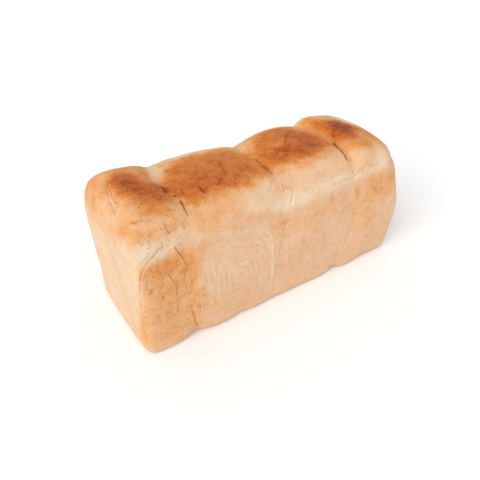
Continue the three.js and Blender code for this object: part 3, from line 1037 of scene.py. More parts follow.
@dataclass
class Marks:
    """What a mark does at each place of the crust.

    sink is how far the skin sinks, in metres, furrow is how far it turns to the dark of
    an open furrow, which is painted shade, and tone is added to its level of browning.
    """

    sink: np.ndarray
    furrow: np.ndarray
    tone: np.ndarray

    def add(self, other: "Marks") -> None:
        """Adds another mark's work to this one's.

        Args:
            other: What the other mark does at the same places.
        """
        self.sink = self.sink + other.sink
        self.furrow = np.maximum(self.furrow, other.furrow)
        self.tone = self.tone + other.tone


class Trails:
    """Furrows that are laid on the smooth form as trails of closely spaced points.

    A sway is the pitch of a noise along a furrow in millimetres, its share, and the
    layer of the noise that it is read from.
    """

    STEP = 0.35  # millimetres between the points of a trail
    LEAST_POINTS = 3  # in a trail
    ROUNDING = 9  # points to each side over which a course's corners are rounded
    STRAY = ((6.0, 1.0, 0.0), (2.2, 0.35, 9.0))  # the sways of a furrow from its course
    GAPE = ((4.0, 0.9, 5.0), (1.6, 0.5, 3.0))  # the sways of how open it is
    GAPE_MIDDLE = 0.5  # about which that sways
    GAPE_BAND = (0.05, 1.0)  # the least and the most of it
    END_TAPER = 3.0  # millimetres over which a furrow fades at each end
    SHORT_TAPER = 0.4  # the same in a short furrow, as a share of its length
    LEAST_TAPER = 0.3  # and the least of it
    NAME_SEEDS = 97  # how many seeds the furrows' names are shared out over
    OUTSIDE = 0.3  # metres from the middle, where the rays that look for the crust start
    SHUT_WIDTH = 0.35  # width, darkness and step that a shut place keeps, as shares
    SHUT_DARK = 0.25
    SHUT_STEP = 0.4
    GROOVE_POWER = 1.5  # how round a furrow's bottom is
    BRINK_POWER = 1.3  # how sharply its sides meet the skin
    DARK_POWER = 1.6  # how fast its dark fades from the middle
    LIP = (1.7, 0.7)  # middle and width of its raised edge, in half widths
    TOAST = (0.14, 2.4)  # how far it browns the skin beside it, and how many half widths out
    STEP_REACH = 5 * MM  # how far from its furrow a step dies out
    STEP_SLOPE = 0.5 * MM  # how gently a step falls from its one side to its other

    def __init__(self, furrows: Sequence[Furrow], surface: BVHTree) -> None:
        """Lays every furrow on the surface.

        Args:
            furrows: The furrows to lay.
            surface: The smooth form, as a tree of its faces.
        """
        self.furrows = list(furrows)
        places, facings, owners, opens = [], [], [], []
        for number, furrow in enumerate(self.furrows):
            for place, facing, opened in self.lay(furrow, surface):
                places.append(place)
                facings.append(facing)
                owners.append(number)
                opens.append(opened)
        self.owner = np.array(owners)
        self.open = np.array(opens)
        self.place = np.array(places)
        self.left = unit(np.cross(np.array(facings), np.gradient(self.place, axis=0)))
        self.tree = KDTree(len(places))
        for i, place in enumerate(places):
            self.tree.insert(place, i)
        self.tree.balance()

    def lay_out(self, furrow: Furrow) -> tuple[np.ndarray, np.ndarray]:
        """Lays a furrow's course out in the plane of its face.

        Args:
            furrow: The furrow to lay out.

        Returns:
            Points along the course with its corners rounded, in millimetres, and how
            far along it each lies.
        """
        course = np.array(furrow.course, dtype=float)
        length = reach_of(course)[-1]
        steps = np.linspace(0, length, max(self.LEAST_POINTS, int(length / self.STEP)))
        flat = follow(course, steps)
        side = min(self.ROUNDING, len(steps) // 3)
        if side > 1:
            weights = np.ones(2 * side + 1) / (2 * side + 1)
            for k in range(2):
                padded = np.pad(flat[:, k], side, mode="reflect", reflect_type="odd")
                flat[:, k] = np.convolve(padded, weights, mode="valid")
        return flat, steps

    def sway(self, at: float, seed: float, sways: Sequence[Sequence[float]], middle: float = 0.0) -> float:
        """Adds up the sways of a furrow at one place.

        Args:
            at: How far along the furrow the place lies, in millimetres.
            seed: The furrow's own seed.
            sways: Pitch, share and layer of each sway.
            middle: What they sway about.

        Returns:
            The sum.
        """
        value = middle
        for pitch, share, layer in sways:
            value += share * noise.noise(Vector((at / pitch, seed, layer)))
        return value

    def openness(self, furrow: Furrow, at: float, length: float, seed: float) -> float:
        """Works out how open a furrow is at one place.

        Args:
            furrow: The furrow.
            at: How far along it the place lies, in millimetres.
            length: Its whole length.
            seed: Its own seed.

        Returns:
            How open it is, 0 to 1.
        """
        taper = min(self.END_TAPER, max(self.SHORT_TAPER * length, self.LEAST_TAPER))
        end = min(at, length - at) / taper
        gape = float(np.clip(self.sway(at, seed, self.GAPE, self.GAPE_MIDDLE), *self.GAPE_BAND))
        opened = blend(1.0, gape, furrow.broken) * blend(1.0, furrow.fade, at / length)
        return float(smooth(np.array(end), 0.0, 1.0)) * opened

    def lay(self, furrow: Furrow, surface: BVHTree) -> list[tuple[Vector, Vector, float]]:
        """Follows one furrow over the surface.

        Args:
            furrow: The furrow to follow.
            surface: The smooth form.

        Returns:
            The points of its trail, each with the surface's facing and how open it is.
        """
        flat, steps = self.lay_out(furrow)
        ahead = unit(np.gradient(flat, axis=0))
        stray = furrow.wander / MM
        seed = float(sum(map(ord, furrow.name)) % self.NAME_SEEDS)
        axis, sense = furrow.face.value
        aim = Vector((0, 0, 0))
        aim[axis] = -sense
        made = []
        for at, (a, b), (ahead_a, ahead_b) in zip(steps, flat, ahead):
            shift = self.sway(at, seed, self.STRAY)
            start = [(a - ahead_b * shift * stray) * MM, (b + ahead_a * shift * stray) * MM]
            start.insert(axis, sense * self.OUTSIDE)
            place, facing = surface.ray_cast(Vector(start), aim)[:2]
            if place is not None:
                made.append((place, facing, self.openness(furrow, at, steps[-1], seed)))
        return made

    def away(self, points: np.ndarray) -> tuple[np.ndarray, np.ndarray]:
        """Returns each point's distance to the nearest trail, and the trail point's number."""
        found = [self.tree.find(p) for p in points.tolist()]
        return np.array([f[2] for f in found]), np.array([f[1] for f in found])

    def cut(self, points: np.ndarray) -> Marks:
        """Works out how the furrows shape and darken the crust.

        Args:
            points: Places on the crust in metres, one row each.

        Returns:
            The marks that the furrows leave at each place.
        """
        distance, number = self.away(points)
        opened = self.open[number]
        width, depth, dark, lip, step = (
            np.array([getattr(furrow, name) for furrow in self.furrows])[self.owner[number]]
            for name in ("width", "depth", "dark", "lip", "step")
        )
        across = distance / (width * blend(self.SHUT_WIDTH, 1.0, opened))
        groove = fall(across ** self.GROOVE_POWER, self.BRINK_POWER)
        sink = depth * opened * (groove - lip * bell(across, *self.LIP))
        side = np.einsum("ij,ij->i", points - self.place[number], self.left[number])
        near = fall((distance / self.STEP_REACH) ** 2, 2)
        height = 0.5 * step * np.tanh(side / self.STEP_SLOPE) * near
        sink -= height * blend(self.SHUT_STEP, 1.0, opened)
        shadow = dark * blend(self.SHUT_DARK, 1.0, opened) * fall(across ** self.DARK_POWER)
        toast, toast_width = self.TOAST
        toasted = toast * dark * opened * bell(across, 0.0, toast_width)
        return Marks(sink, np.clip(shadow, 0, 1), toasted)


@dataclass(frozen=True)
class Swirl:
    """The rings left on a lobe's wall by the rolled-up dough, like a squared-off coil.

    slope is how much the flat sides of the coil fall for each unit along the face. The
    coil's radius counts as 1. A sway is the pitch of a noise and how far it moves the
    rings. wear is the pitch of a noise, and the two values between which rings show.
    crest and line are the middle and width of a ring's ridge and groove, and edge those
    of the outermost ridge.
    """

    face: Face
    centre: Pair
    radii: Pair
    slope: float = 0.0
    power: float = 3.5
    rings: float = 5.0
    height: float = 0.3 * MM
    tone: float = 0.05
    seed: float = 0.0
    gate: Pair = (30 * MM, 46 * MM)
    limit: float = 1.35
    sways: tuple[Pair, ...] = ((26 * MM, 0.30), (8 * MM, 0.10))
    wear: Triple = (12 * MM, -0.35, 0.25)
    wear_seed: float = 4.0
    crest: Pair = (0.35, 0.16)
    crest_share: float = 0.6
    line: Pair = (0.72, 0.10)
    inner_band: Pair = (0.05, 0.25)
    outer_band: Pair = (0.92, 1.0)
    edge: Pair = (1.0, 0.035)
    edge_height: float = 1.5
    edge_tone: float = 1.4
    edge_worn: float = 0.35
    edge_foot: Pair = (8, 26)

    def cut(self, points: np.ndarray) -> Marks:
        """Works out how the rings shape the crust.

        Args:
            points: Places on the crust in metres, one row each.

        Returns:
            The marks that the rings leave at each place.
        """
        axis, sense = self.face.value
        a, b = (points[:, k] / MM for k in range(3) if k != axis)
        facing = smooth(points[:, axis] * sense, *self.gate)
        u = (a - self.centre[0]) / self.radii[0]
        v = (b - self.centre[1] + self.slope * (a - self.centre[0])) / self.radii[1]
        away = squared_off(np.abs(u), np.abs(v), self.power)
        inside = (away < self.limit) & (facing > 0)
        stray, whole = np.zeros(len(points)), np.zeros(len(points))
        near = points[inside]
        for i, (pitch, reach) in enumerate(self.sways):
            stray[inside] += reach * perlin(near, pitch, self.seed + i)
        pitch, low, high = self.wear
        whole[inside] = smooth(perlin(near, pitch, self.seed + self.wear_seed), low, high)
        turns = away * self.rings + 0.5 * np.arctan2(v, u) / math.pi + stray * 2
        part = turns % 1.0
        ring = bell(part, *self.line) - self.crest_share * bell(part, *self.crest)
        ring *= smooth(away, *self.inner_band) * (1 - smooth(away, *self.outer_band)) * facing * whole
        edge = bell(away, *self.edge)
        edge *= facing * blend(self.edge_worn, 1.0, whole) * smooth(b, *self.edge_foot)
        sink = self.height * (ring - self.edge_height * edge)
        tone = self.tone * (ring - self.edge_tone * edge)
        return Marks(sink, np.zeros(len(points)), tone)


@dataclass(frozen=True)
class CrustSkin:
    """The small unevenness of the skin: blisters, ripples, and creases here and there.

    blister and ripple are the pitch of a noise and its height. The creases run where a
    noise is near 0: ruffle is the pitch and the share of a finer noise in it, and
    patches the pitch of the noise that lets creases show and the values between which
    it does.
    """

    seed: float = 21.0
    blister: Pair = (11 * MM, 0.30 * MM)
    ripple: Pair = (4.2 * MM, 0.13 * MM)
    crease_pitch: float = 19 * MM
    crease_ruffle: Pair = (7 * MM, 0.35)
    crease_width: float = 0.055
    crease_power: float = 1.2
    crease_patches: Triple = (15 * MM, 0.02, 0.3)
    crease_depth: float = 0.30 * MM
    crease_tone: float = 0.08

    def cut(self, points: np.ndarray) -> Marks:
        """Works out how the skin's unevenness shapes the crust.

        Args:
            points: Places on the crust in metres, one row each.

        Returns:
            The marks that the skin's unevenness leaves at each place.
        """
        pitch, height = self.blister
        sink = -height * perlin(points, pitch, self.seed)
        pitch, height = self.ripple
        sink -= height * perlin(points, pitch, self.seed + 1)
        pitch, share = self.crease_ruffle
        course = perlin(points, self.crease_pitch, self.seed + 2)
        line = np.abs(course + share * perlin(points, pitch, self.seed + 3))
        crease = fall(line / self.crease_width, self.crease_power)
        pitch, low, high = self.crease_patches
        crease *= smooth(perlin(points, pitch, self.seed + 4), low, high)
        return Marks(sink + self.crease_depth * crease, np.zeros(len(points)), self.crease_tone * crease)


# ---- Finishes ----------------------------------------------------------------------

class NodeGraph:
    """Short words for building a material's nodes."""

    MIX_FIRST, MIX_SECOND, MIX_RESULT = 6, 7, 2  # the colour sockets of a Mix node

    def __init__(self, material: bpy.types.Material) -> None:
        """Clears the material's nodes and starts a new tree.

        Args:
            material: The material to build.
        """
        material.use_nodes = True
        self.tree = material.node_tree
        self.tree.nodes.clear()

    def add(self, kind: str, **settings: object) -> bpy.types.Node:
        """Adds a node.

        Args:
            kind: Blender's name for the kind of node.
            settings: The node's own settings and their values.

        Returns:
            The node.
        """
        node = self.tree.nodes.new(kind)
        for name, value in settings.items():
            setattr(node, name, value)
        return node

    def feed(self, socket: Socket, value: object) -> None:
        """Links a socket to another, or gives it a plain value.

        Args:
            socket: The socket that is fed.
            value: Another node's socket, or a plain value.
        """
        if isinstance(value, Socket):
            self.tree.links.new(value, socket)
        else:
            socket.default_value = value

    def math(self, operation: str, first: object, second: object = 0.0, clamp: bool = False) -> Socket:
        """Adds a sum on two numbers or sockets.

        Args:
            operation: Blender's name for the kind of sum.
            first: The first number or socket.
            second: The second.
            clamp: Whether the result is kept between 0 and 1.

        Returns:
            The socket of the result.
        """
        node = self.add("ShaderNodeMath", operation=operation, use_clamp=clamp)
        self.feed(node.inputs[0], first)
        self.feed(node.inputs[1], second)
        return node.outputs[0]

    def times(self, first: object, second: object) -> Socket:
        """Returns the product of two numbers or sockets."""
        return self.math("MULTIPLY", first, second)

    def total(self, first: object, *others: object) -> Socket:
        """Adds up numbers and sockets in the order they are given.

        Args:
            first: The first number or socket.
            others: The others.

        Returns:
            The socket of the sum.
        """
        for other in others:
            first = self.math("ADD", first, other)
        return first

    def swing(self, value: Socket, amount: float) -> Socket:
        """Returns noise of about 0 to 1 as a swing of the given amount about 0."""
        return self.times(self.math("SUBTRACT", value, 0.5), amount * 2)

    def remap(
        self, value: object, low: float, high: float, to_low: float = 0.0, to_high: float = 1.0
    ) -> Socket:
        """Eases a value from one range into another.

        Args:
            value: The number or socket.
            low: Where the first range starts.
            high: Where it ends.
            to_low: What low becomes.
            to_high: What high becomes.

        Returns:
            The socket of the eased value.
        """
        node = self.add("ShaderNodeMapRange", interpolation_type="SMOOTHSTEP")
        for socket, given in zip(node.inputs, (value, low, high, to_low, to_high)):
            self.feed(socket, given)
        return node.outputs[0]

    def noise(
        self, place: Socket, size: float, detail: float = 2.0, roughness: float = 0.5, bend: float = 0.0
    ) -> Socket:
        """Adds noise of about 0 to 1.

        Args:
            place: The coordinates that it is read at.
            size: Size of its swellings in metres.
            detail: How many times finer noise is laid over it.
            roughness: How strong the finer noise is.
            bend: How far its swellings are distorted.

        Returns:
            The socket of its value.
        """
        node = self.add("ShaderNodeTexNoise")
        self.feed(node.inputs["Vector"], place)
        node.inputs["Scale"].default_value = 1.0 / size
        node.inputs["Detail"].default_value = detail
        node.inputs["Roughness"].default_value = roughness
        node.inputs["Distortion"].default_value = bend
        return node.outputs["Fac"]

    def ramp(self, value: Socket, stops: Sequence[tuple[float, Rgba]]) -> Socket:
        """Finds the colour that a value has along a row of stops.

        Args:
            value: The socket of the value.
            stops: The place and colour of each stop.

        Returns:
            The socket of the colour.
        """
        node = self.add("ShaderNodeValToRGB")
        self.feed(node.inputs[0], value)
        points = node.color_ramp.elements
        while len(points) < len(stops):
            points.new(1.0)
        for point, (position, colour) in zip(points, stops):
            point.position = position
            point.color = colour
        return node.outputs[0]

    def mix_colour(self, share: object, first: object, second: object, way: str = "MIX") -> Socket:
        """Mixes two colours.

        Args:
            share: How much of the second colour is used, 0 to 1.
            first: The first colour.
            second: The second.
            way: Blender's name for the way they are mixed.

        Returns:
            The socket of the mixed colour.
        """
        node = self.add("ShaderNodeMix", data_type="RGBA", blend_type=way)
        self.feed(node.inputs[0], share)
        self.feed(node.inputs[self.MIX_FIRST], first)
        self.feed(node.inputs[self.MIX_SECOND], second)
        return node.outputs[self.MIX_RESULT]

    def attribute(self, name: str) -> Socket:
        """Returns a number that the piece's own attribute holds."""
        node = self.add("ShaderNodeAttribute", attribute_type="GEOMETRY", attribute_name=name)
        return node.outputs["Fac"]

    def finish(self, shader: bpy.types.Node) -> None:
        """Gives the material its shader."""
        self.feed(self.add("ShaderNodeOutputMaterial").inputs["Surface"], shader.outputs[0])


@dataclass(frozen=True)
class Grain:
    """Unevenness of one size in the skin of the crust.

    swing is how far it moves the browning to either side, and height is its share of
    the bump.
    """

    size: float
    detail: float
    roughness: float
    swing: float = 0.0
    height: float = 0.0


@dataclass(frozen=True)
class CrustFinish:
    """The baked crust: cream where it stayed pale, through gold to brown on the crowns.

    lively, flecking and roughness each give two levels of browning, and what the share
    of the spots, the strength of the flecks and the roughness are at the one and at the
    other. A tone is added to the level of browning, a shade darkens the colour, and a
    depth is a share of the bump. The wrinkles' tone and shade are painted shade along
    their lines.
    """

    name: str = "baked_crust"
    browning: tuple[tuple[float, Colour], ...] = (
        (0.00, (234, 216, 190)), (0.14, (230, 202, 170)), (0.30, (226, 187, 151)),
        (0.44, (225, 172, 122)), (0.58, (218, 149, 86)), (0.72, (206, 121, 54)),
        (0.86, (189, 98, 35)), (0.94, (166, 79, 24)), (1.00, (142, 60, 14)),
    )
    # the colour at the bottom of an open furrow: painted shade, in a crust brown
    groove: Colour = (126, 62, 20)
    broad: Grain = Grain(26 * MM, 2.0, 0.5, swing=0.10)
    mottle: Grain = Grain(9 * MM, 3.0, 0.55, swing=0.18, height=0.35)
    speckle: Grain = Grain(2.6 * MM, 3.0, 0.65, swing=0.18, height=0.55)
    grain: Grain = Grain(0.8 * MM, 2.0, 0.6, swing=0.14, height=0.16)
    fleck: Grain = Grain(1.5 * MM, 3.0, 0.7, swing=1.0, height=0.30)
    lively: Range = (0.15, 0.62, 0.26, 0.9)
    flecking: Range = (0.2, 0.8, 0.10, 0.21)
    wrinkle_size: float = 8 * MM
    wrinkle_bend: float = 0.6
    wrinkle_width: Pair = (0.003, 0.024)
    wrinkle_patches: Triple = (9 * MM, 0.46, 0.60)
    # painted shade along the wrinkle lines: a tone added to the browning, and a shade that darkens the
    # colour
    wrinkle_shade_tone: float = 0.04
    wrinkle_shade: float = 0.05
    wrinkle_depth: float = 0.30
    pore_pitch: float = 5.5 * MM
    pore_width: Pair = (0.05, 0.13)
    pore_pick: float = 0.72
    pore_tone: float = 0.22
    pore_depth: float = 0.6
    bump_strength: float = 0.8
    bump_height: float = 0.5 * MM
    roughness: Range = (0.45, 0.9, 0.70, 0.50)
    roughness_swing: float = 0.16
    refraction: float = 1.42
    specular: float = 0.22

    def make(self) -> bpy.types.Material:
        """Builds the material.

        Returns:
            The material, which reads the piece's own attributes and Object coordinates.
        """
        material = bpy.data.materials.new(self.name)
        graph = NodeGraph(material)
        place = graph.add("ShaderNodeTexCoord").outputs["Object"]
        bake = graph.attribute("bake")
        broad, mottle, speckle, grain, fleck = (
            graph.noise(place, kind.size, kind.detail, kind.roughness)
            for kind in (self.broad, self.mottle, self.speckle, self.grain, self.fleck)
        )
        wrinkle = self.wrinkles(graph, place)
        pore = self.pores(graph, place)

        spots = graph.total(
            graph.swing(mottle, self.mottle.swing),
            graph.swing(speckle, self.speckle.swing),
            graph.swing(grain, self.grain.swing),
        )
        level = graph.total(
            bake,
            graph.times(spots, graph.remap(bake, *self.lively)),
            graph.swing(broad, self.broad.swing),
            # the wrinkles' share of the level is painted shade along their lines
            graph.times(wrinkle, self.wrinkle_shade_tone),
            graph.times(pore, self.pore_tone),
        )
        level = graph.math("ADD", level, graph.attribute("tone"), clamp=True)

        flecks = graph.times(graph.swing(fleck, self.fleck.swing), graph.remap(bake, *self.flecking))
        # darkens the colour: the flecks at random, and painted shade along the wrinkle lines
        shade = graph.total(flecks, 1.0, graph.times(wrinkle, -self.wrinkle_shade))
        colour = graph.ramp(level, [(at, srgb(*tint)) for at, tint in self.browning])
        colour = graph.mix_colour(1.0, colour, shade, "MULTIPLY")
        # painted shade at the bottoms of the open furrows
        colour = graph.mix_colour(graph.attribute("furrow"), colour, srgb(*self.groove))

        bump = graph.add("ShaderNodeBump")
        bump.inputs["Strength"].default_value = self.bump_strength
        bump.inputs["Distance"].default_value = self.bump_height
        graph.feed(bump.inputs["Height"], graph.total(
            graph.times(mottle, self.mottle.height),
            graph.times(speckle, self.speckle.height),
            graph.times(fleck, self.fleck.height),
            graph.times(grain, self.grain.height),
            graph.times(wrinkle, -self.wrinkle_depth),
            graph.times(pore, -self.pore_depth),
        ))

        shader = graph.add("ShaderNodeBsdfPrincipled")
        rough = graph.total(
            graph.remap(level, *self.roughness), graph.swing(speckle, self.roughness_swing)
        )
        graph.feed(shader.inputs["Base Color"], colour)
        graph.feed(shader.inputs["Roughness"], rough)
        graph.feed(shader.inputs["Normal"], bump.outputs[0])
        shader.inputs["IOR"].default_value = self.refraction
        shader.inputs["Specular IOR Level"].default_value = self.specular
        graph.finish(shader)
        return material

    def wrinkles(self, graph: NodeGraph, place: Socket) -> Socket:
        """Draws the thin, broken wrinkle lines of the skin.

        Args:
            graph: The material's nodes.
            place: The coordinates that they are read at.

        Returns:
            The socket of a value that is 1 on a line.
        """
        course = graph.noise(place, self.wrinkle_size, bend=self.wrinkle_bend)
        away = graph.math("ABSOLUTE", graph.math("SUBTRACT", course, 0.5))
        line = graph.remap(away, *self.wrinkle_width, 1.0, 0.0)
        size, low, high = self.wrinkle_patches
        return graph.times(line, graph.remap(graph.noise(place, size), low, high))

    def pores(self, graph: NodeGraph, place: Socket) -> Socket:
        """Draws the small scattered pores of the skin.

        Args:
            graph: The material's nodes.
            place: The coordinates that they are read at.

        Returns:
            The socket of a value that is 1 in a pore.
        """
        cells = graph.add("ShaderNodeTexVoronoi")
        graph.feed(cells.inputs["Vector"], place)
        cells.inputs["Scale"].default_value = 1.0 / self.pore_pitch
        hole = graph.remap(cells.outputs["Distance"], *self.pore_width, 1.0, 0.0)
        pick = graph.add("ShaderNodeSeparateColor")
        graph.feed(pick.inputs[0], cells.outputs["Color"])
        return graph.times(hole, graph.math("GREATER_THAN", pick.outputs[0], self.pore_pick))


@dataclass(frozen=True)
class FloorFinish:
    """The plain pale studio floor."""

    name: str = "pale_floor"
    colour: Colour = (253, 253, 253)
    roughness: float = 0.95
    specular: float = 0.1

    def make(self) -> bpy.types.Material:
        """Builds the matt floor material.

        Returns:
            The material.
        """
        material = bpy.data.materials.new(self.name)
        graph = NodeGraph(material)
        shader = graph.add("ShaderNodeBsdfPrincipled")
        shader.inputs["Base Color"].default_value = srgb(*self.colour)
        shader.inputs["Roughness"].default_value = self.roughness
        shader.inputs["Specular IOR Level"].default_value = self.specular
        graph.finish(shader)
        return material


# ---- The loaf ----------------------------------------------------------------------

@dataclass
class Loaf:
    """The loaf's crust, which stands for the CAD solid.

    It is cut from a cube of edge 2. refine_reach says how near to the cracks and to the
    strewn marks the grid is cut finer, once and once again, and refine_start and
    relief_start say from which height that and the relief begin. base_slack is how near
    the base a point or a face still counts as on it, and the normal of a face of the
    base rises by less than base_tilt.
    """

    name: str = "loaf_crust"
    form: LoafForm = field(default_factory=LoafForm)
    browning: Browning = field(default_factory=Browning)
    finish: CrustFinish = field(default_factory=CrustFinish)
    skin: CrustSkin = field(default_factory=CrustSkin)
    columns: int = 210
    rows_across: int = 60
    rows_up: int = 66
    refine_reach: tuple[Pair, ...] = ((2.4 * MM, 1.5 * MM), (1.1 * MM, 0.7 * MM))
    refine_start: float = 0.5 * MM
    relief_start: float = 4 * MM
    inset: float = 0.05 * MM
    base_slack: float = 1e-4
    base_tilt: float = -0.99
    swirls: tuple[Swirl, ...] = (
        Swirl(Face.FRONT, (-49.5, 49), (36, 46), 0.30, 7.0, 6.5, 0.5 * MM, 0.09, seed=31.0),
        Swirl(Face.FRONT, (34, 46), (34, 38), slope=0.1, rings=5.0, height=0.2 * MM, tone=0.04, seed=32.0),
        Swirl(Face.BACK, (44, 52), (34, 42), slope=-0.12, rings=6.0, height=0.5 * MM, tone=0.10, seed=33.0),
        Swirl(Face.BACK, (-40, 48), (34, 38), rings=5.0, height=0.2 * MM, tone=0.04, seed=34.0),
        Swirl(Face.FAR_END, (2, 50), (40, 40), rings=5.0, height=0.2 * MM, tone=0.04, seed=35.0),
    )

    def build(self) -> bpy.types.Object:
        """Builds the crust and dresses it.

        Returns:
            The finished object.
        """
        block = self.cut_block()
        mesh = self.as_mesh(block)
        surface = self.surface_tree(mesh, self.smooth_points(mesh))
        strewn = [furrow for group in (*PITS, *SHREDS, *NICKS) for furrow in group.furrows()]
        trails = [Trails(CRACKS, surface), Trails(strewn, surface)]
        for reaches in self.refine_reach:
            bpy.data.meshes.remove(mesh)
            self.refine(block, trails, reaches)
            mesh = self.as_mesh(block)
        self.add_relief(mesh, self.smooth_points(mesh), trails)
        block.free()
        piece = bpy.data.objects.new(self.name, mesh)
        bpy.context.scene.collection.objects.link(piece)
        mesh.materials.append(self.finish.make())
        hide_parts("loaf")
        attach(piece, "root")
        return piece

    def cut_block(self) -> bmesh.types.BMesh:
        """Cuts a cube into columns and rows, with one face for its base.

        Returns:
            The block, in the space of the cube.
        """
        block = bmesh.new()
        bmesh.ops.create_cube(block, size=2)
        for axis, count in enumerate((self.columns, self.rows_across, self.rows_up)):
            along = [
                edge for edge in block.edges
                if abs(edge.verts[0].co[axis] - edge.verts[1].co[axis]) > 1
            ]
            bmesh.ops.subdivide_edges(block, edges=along, cuts=count - 1, use_grid_fill=True)
        base = [face for face in block.faces if face.calc_center_median().z < self.base_slack - 1]
        bmesh.ops.dissolve_faces(block, faces=base, use_verts=True)
        block.verts.index_update()
        return block

    def as_mesh(self, block: bmesh.types.BMesh) -> bpy.types.Mesh:
        """Writes the block to a new mesh.

        Args:
            block: The block, in the space of the cube.

        Returns:
            The mesh, in the same space.
        """
        mesh = bpy.data.meshes.new(self.name)
        block.to_mesh(mesh)
        return mesh

    def smooth_points(self, mesh: bpy.types.Mesh) -> np.ndarray:
        """Moves the mesh of the block onto the smooth form.

        Args:
            mesh: The block's mesh, whose points are moved.

        Returns:
            The points of the smooth form in metres, one row each.
        """
        cube = read_points(mesh)
        points, nominal = self.form.wrap(cube)
        write_points(mesh, points)
        facing = read_normals(mesh)
        on_base = cube[:, 2] < self.base_slack - 1
        facing[on_base, 2] = 0
        facing = unit(facing)
        press = self.form.seam_press(points, nominal, facing) + self.form.fold_press(points)
        points += facing * (self.form.lump(points) - press)[:, None]
        points[on_base, 2] = 0
        points = self.fit(points)
        write_points(mesh, points)
        return points

    def fit(self, points: np.ndarray) -> np.ndarray:
        """Fits the points into the CAD node's own box, a hair inside it.

        Args:
            points: Points in metres, one row each.

        Returns:
            The fitted points.
        """
        low, high = (np.array(corner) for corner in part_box("loaf"))
        low, high = low + (self.inset, self.inset, 0), high - self.inset
        least, most = points.min(axis=0), points.max(axis=0)
        return low + (points - least) * (high - low) / (most - least)

    def surface_tree(self, mesh: bpy.types.Mesh, points: np.ndarray) -> BVHTree:
        """Returns the smooth form as a tree that a furrow can be laid on."""
        faces = [list(face.vertices) for face in mesh.polygons]
        return BVHTree.FromPolygons(points.tolist(), faces)

    def refine(self, block: bmesh.types.BMesh, trails: Sequence[Trails], reaches: Sequence[float]) -> None:
        """Cuts the grid finer near the furrows.

        A point that is left between only two edges is taken out again, because the faces
        on both sides of it can fold over each other there.

        Args:
            block: The block, in the space of the cube.
            trails: The cracks and the strewn marks.
            reaches: How near to each of them an edge is cut, in metres.
        """
        mesh = self.as_mesh(block)
        points = self.smooth_points(mesh)
        block.edges.ensure_lookup_table()
        ends = np.array([(edge.verts[0].index, edge.verts[1].index) for edge in block.edges])
        middles = points[ends].mean(axis=1)
        close = [laid.away(middles)[0] < reach for laid, reach in zip(trails, reaches)]
        near = np.nonzero(np.logical_or.reduce(close))[0]
        above = middles[near, 2] > self.refine_start
        edges = [block.edges[i] for i in near[above]]
        bmesh.ops.subdivide_edges(block, edges=edges, cuts=1, use_grid_fill=True)
        stray = [vert for vert in block.verts if len(vert.link_edges) == 2]
        bmesh.ops.dissolve_verts(block, verts=stray)
        block.verts.index_update()
        bpy.data.meshes.remove(mesh)

    def add_relief(self, mesh: bpy.types.Mesh, points: np.ndarray, trails: Sequence[Trails]) -> None:
        """Cuts the furrows, rings and skin, and paints the browning.

        Args:
            mesh: The crust on the smooth form.
            points: Its points in metres.
            trails: The furrows, laid on the smooth form.
        """
        facing = read_normals(mesh)
        settled = smooth(points[:, 2], 0, self.relief_start)
        marks = self.skin.cut(points)
        for part in (*trails, *self.swirls):
            marks.add(part.cut(points))
        bake = self.browning.levels(points)
        moved = self.fit(points - facing * (marks.sink * settled)[:, None])
        moved[points[:, 2] < self.base_slack, 2] = 0
        write_points(mesh, moved)
        for name, values in (("bake", bake), ("furrow", marks.furrow), ("tone", marks.tone)):
            mesh.attributes.new(name, "FLOAT", "POINT").data.foreach_set("value", values.astype(np.float32))
        mesh.shade_smooth()
        for face in mesh.polygons:
            if face.normal.z < self.base_tilt and face.center.z < self.base_slack:
                face.use_smooth = False


def read_points(mesh: bpy.types.Mesh) -> np.ndarray:
    """Reads a mesh's points.

    Args:
        mesh: The mesh.

    Returns:
        Its points, one row each.
    """
    flat = np.empty(len(mesh.vertices) * 3)
    mesh.vertices.foreach_get("co", flat)
    return flat.reshape(-1, 3)


def write_points(mesh: bpy.types.Mesh, points: np.ndarray) -> None:
    """Moves the mesh's points."""
    mesh.vertices.foreach_set("co", points.astype(np.float32).ravel())
    mesh.update()


def read_normals(mesh: bpy.types.Mesh) -> np.ndarray:
    """Reads which way a mesh faces.

    Args:
        mesh: The mesh.

    Returns:
        The outward direction at each of its points, one row each.
    """
    flat = np.empty(len(mesh.vertices) * 3)
    mesh.vertex_normals.foreach_get("vector", flat)
    return flat.reshape(-1, 3)


# ---- Studio and camera -------------------------------------------------------------

@dataclass(frozen=True)
class SoftLight:
    """A broad soft light that falls evenly over the whole floor."""

    name: str
    place: Triple
    spread: float
    strength: float

    def build(self) -> bpy.types.Object:
        """Sets the light up.

        Returns:
            The light.
        """
        lamp = bpy.data.lights.new(self.name, "SUN")
        lamp.angle = math.radians(self.spread)
        lamp.energy = self.strength
        light = bpy.data.objects.new(self.name, lamp)
        light.location = self.place
        light.rotation_euler = (-Vector(self.place)).to_track_quat("-Z", "Y").to_euler()
        bpy.context.scene.collection.objects.link(light)
        return light


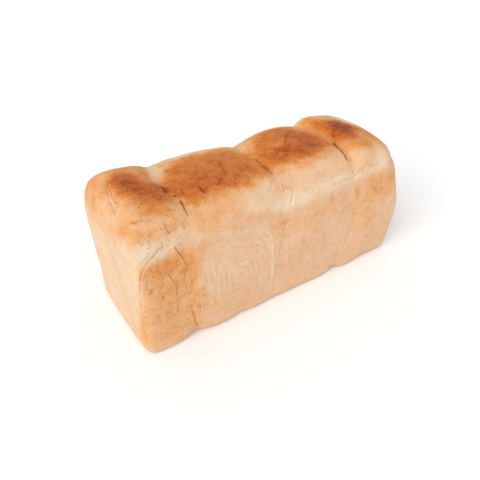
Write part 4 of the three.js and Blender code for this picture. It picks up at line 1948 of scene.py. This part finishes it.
@dataclass
class Studio:
    """A pale floor under a white sky, with a broad soft light from the near end."""

    floor_size: float = 12.0
    sky_colour: Rgba = (1.0, 1.0, 1.0, 1.0)
    sky_strength: float = 0.69
    floor_finish: FloorFinish = field(default_factory=FloorFinish)
    lights: tuple[SoftLight, ...] = (
        SoftLight("key_light", (-1.5, -0.75, 1.5), 50.0, 1.75),
    )

    def build(self) -> bpy.types.Object:
        """Lays the floor, lights the sky and sets up the lights.

        Returns:
            The floor.
        """
        floor = self.lay_floor()
        self.light_sky()
        for light in self.lights:
            light.build()
        settings = bpy.context.scene.view_settings
        settings.view_transform = "Standard"
        settings.look = "None"
        return floor

    def lay_floor(self) -> bpy.types.Object:
        """Lays the floor.

        Returns:
            The floor.
        """
        shape = bmesh.new()
        bmesh.ops.create_grid(shape, x_segments=1, y_segments=1, size=self.floor_size / 2)
        mesh = bpy.data.meshes.new("studio_floor")
        shape.to_mesh(mesh)
        shape.free()
        mesh.materials.append(self.floor_finish.make())
        floor = bpy.data.objects.new("studio_floor", mesh)
        bpy.context.scene.collection.objects.link(floor)
        return floor

    def light_sky(self) -> None:
        """Lights the sky all over."""
        sky = bpy.data.worlds.new("white_sky")
        sky.use_nodes = True
        backdrop = sky.node_tree.nodes["Background"]
        backdrop.inputs["Color"].default_value = self.sky_colour
        backdrop.inputs["Strength"].default_value = self.sky_strength
        bpy.context.scene.world = sky


@dataclass(frozen=True)
class Viewpoint:
    """The camera, which looks down on the near front corner of the loaf."""

    azimuth: float = -32.062
    elevation: float = 35.893
    roll: float = -1.59
    distance: float = 526.765 * MM
    focus: Triple = (-3.3 * MM, 0.0, 50 * MM)
    image_size: float = 480.0
    focal_pixels: float = 555.369
    centre_pixel: Pair = (248.529, 226.215)
    sensor: float = 36.0
    clip_start: float = 10 * MM

    def build(self) -> bpy.types.Object:
        """Sets the camera up.

        Returns:
            The camera.
        """
        turn, rise, roll = (math.radians(a) for a in (self.azimuth, self.elevation, self.roll))
        back = Vector((math.sin(turn) * math.cos(rise), -math.cos(turn) * math.cos(rise), math.sin(rise)))
        right = (-back).cross(Vector((0, 0, 1))).normalized()
        up = right.cross(-back)
        across = right * math.cos(roll) + up * math.sin(roll)
        upward = up * math.cos(roll) - right * math.sin(roll)
        lens = bpy.data.cameras.new("camera")
        lens.sensor_fit = "HORIZONTAL"
        lens.sensor_width = self.sensor
        lens.lens = self.focal_pixels * self.sensor / self.image_size
        lens.shift_x = 0.5 - self.centre_pixel[0] / self.image_size
        lens.shift_y = self.centre_pixel[1] / self.image_size - 0.5
        lens.clip_start = self.clip_start
        camera = bpy.data.objects.new("camera", lens)
        axes = Matrix((across, upward, back)).transposed().to_4x4()
        camera.matrix_world = Matrix.Translation(Vector(self.focus) + back * self.distance) @ axes
        bpy.context.scene.collection.objects.link(camera)
        bpy.context.scene.camera = camera
        return camera


def main() -> None:
    """Builds the camera, the studio and the loaf."""
    logging.basicConfig(level=logging.INFO, format="%(name)s: %(message)s")
    camera = Viewpoint().build()
    LOG.info("built %s", camera.name)
    floor = Studio().build()
    LOG.info("built %s", floor.name)
    piece = Loaf().build()
    triangles = sum(len(face.vertices) - 2 for face in piece.data.polygons)
    LOG.info("built %s with %d triangles", piece.name, triangles)
    bpy.context.view_layer.update()


if __name__ == "__main__":
    main()
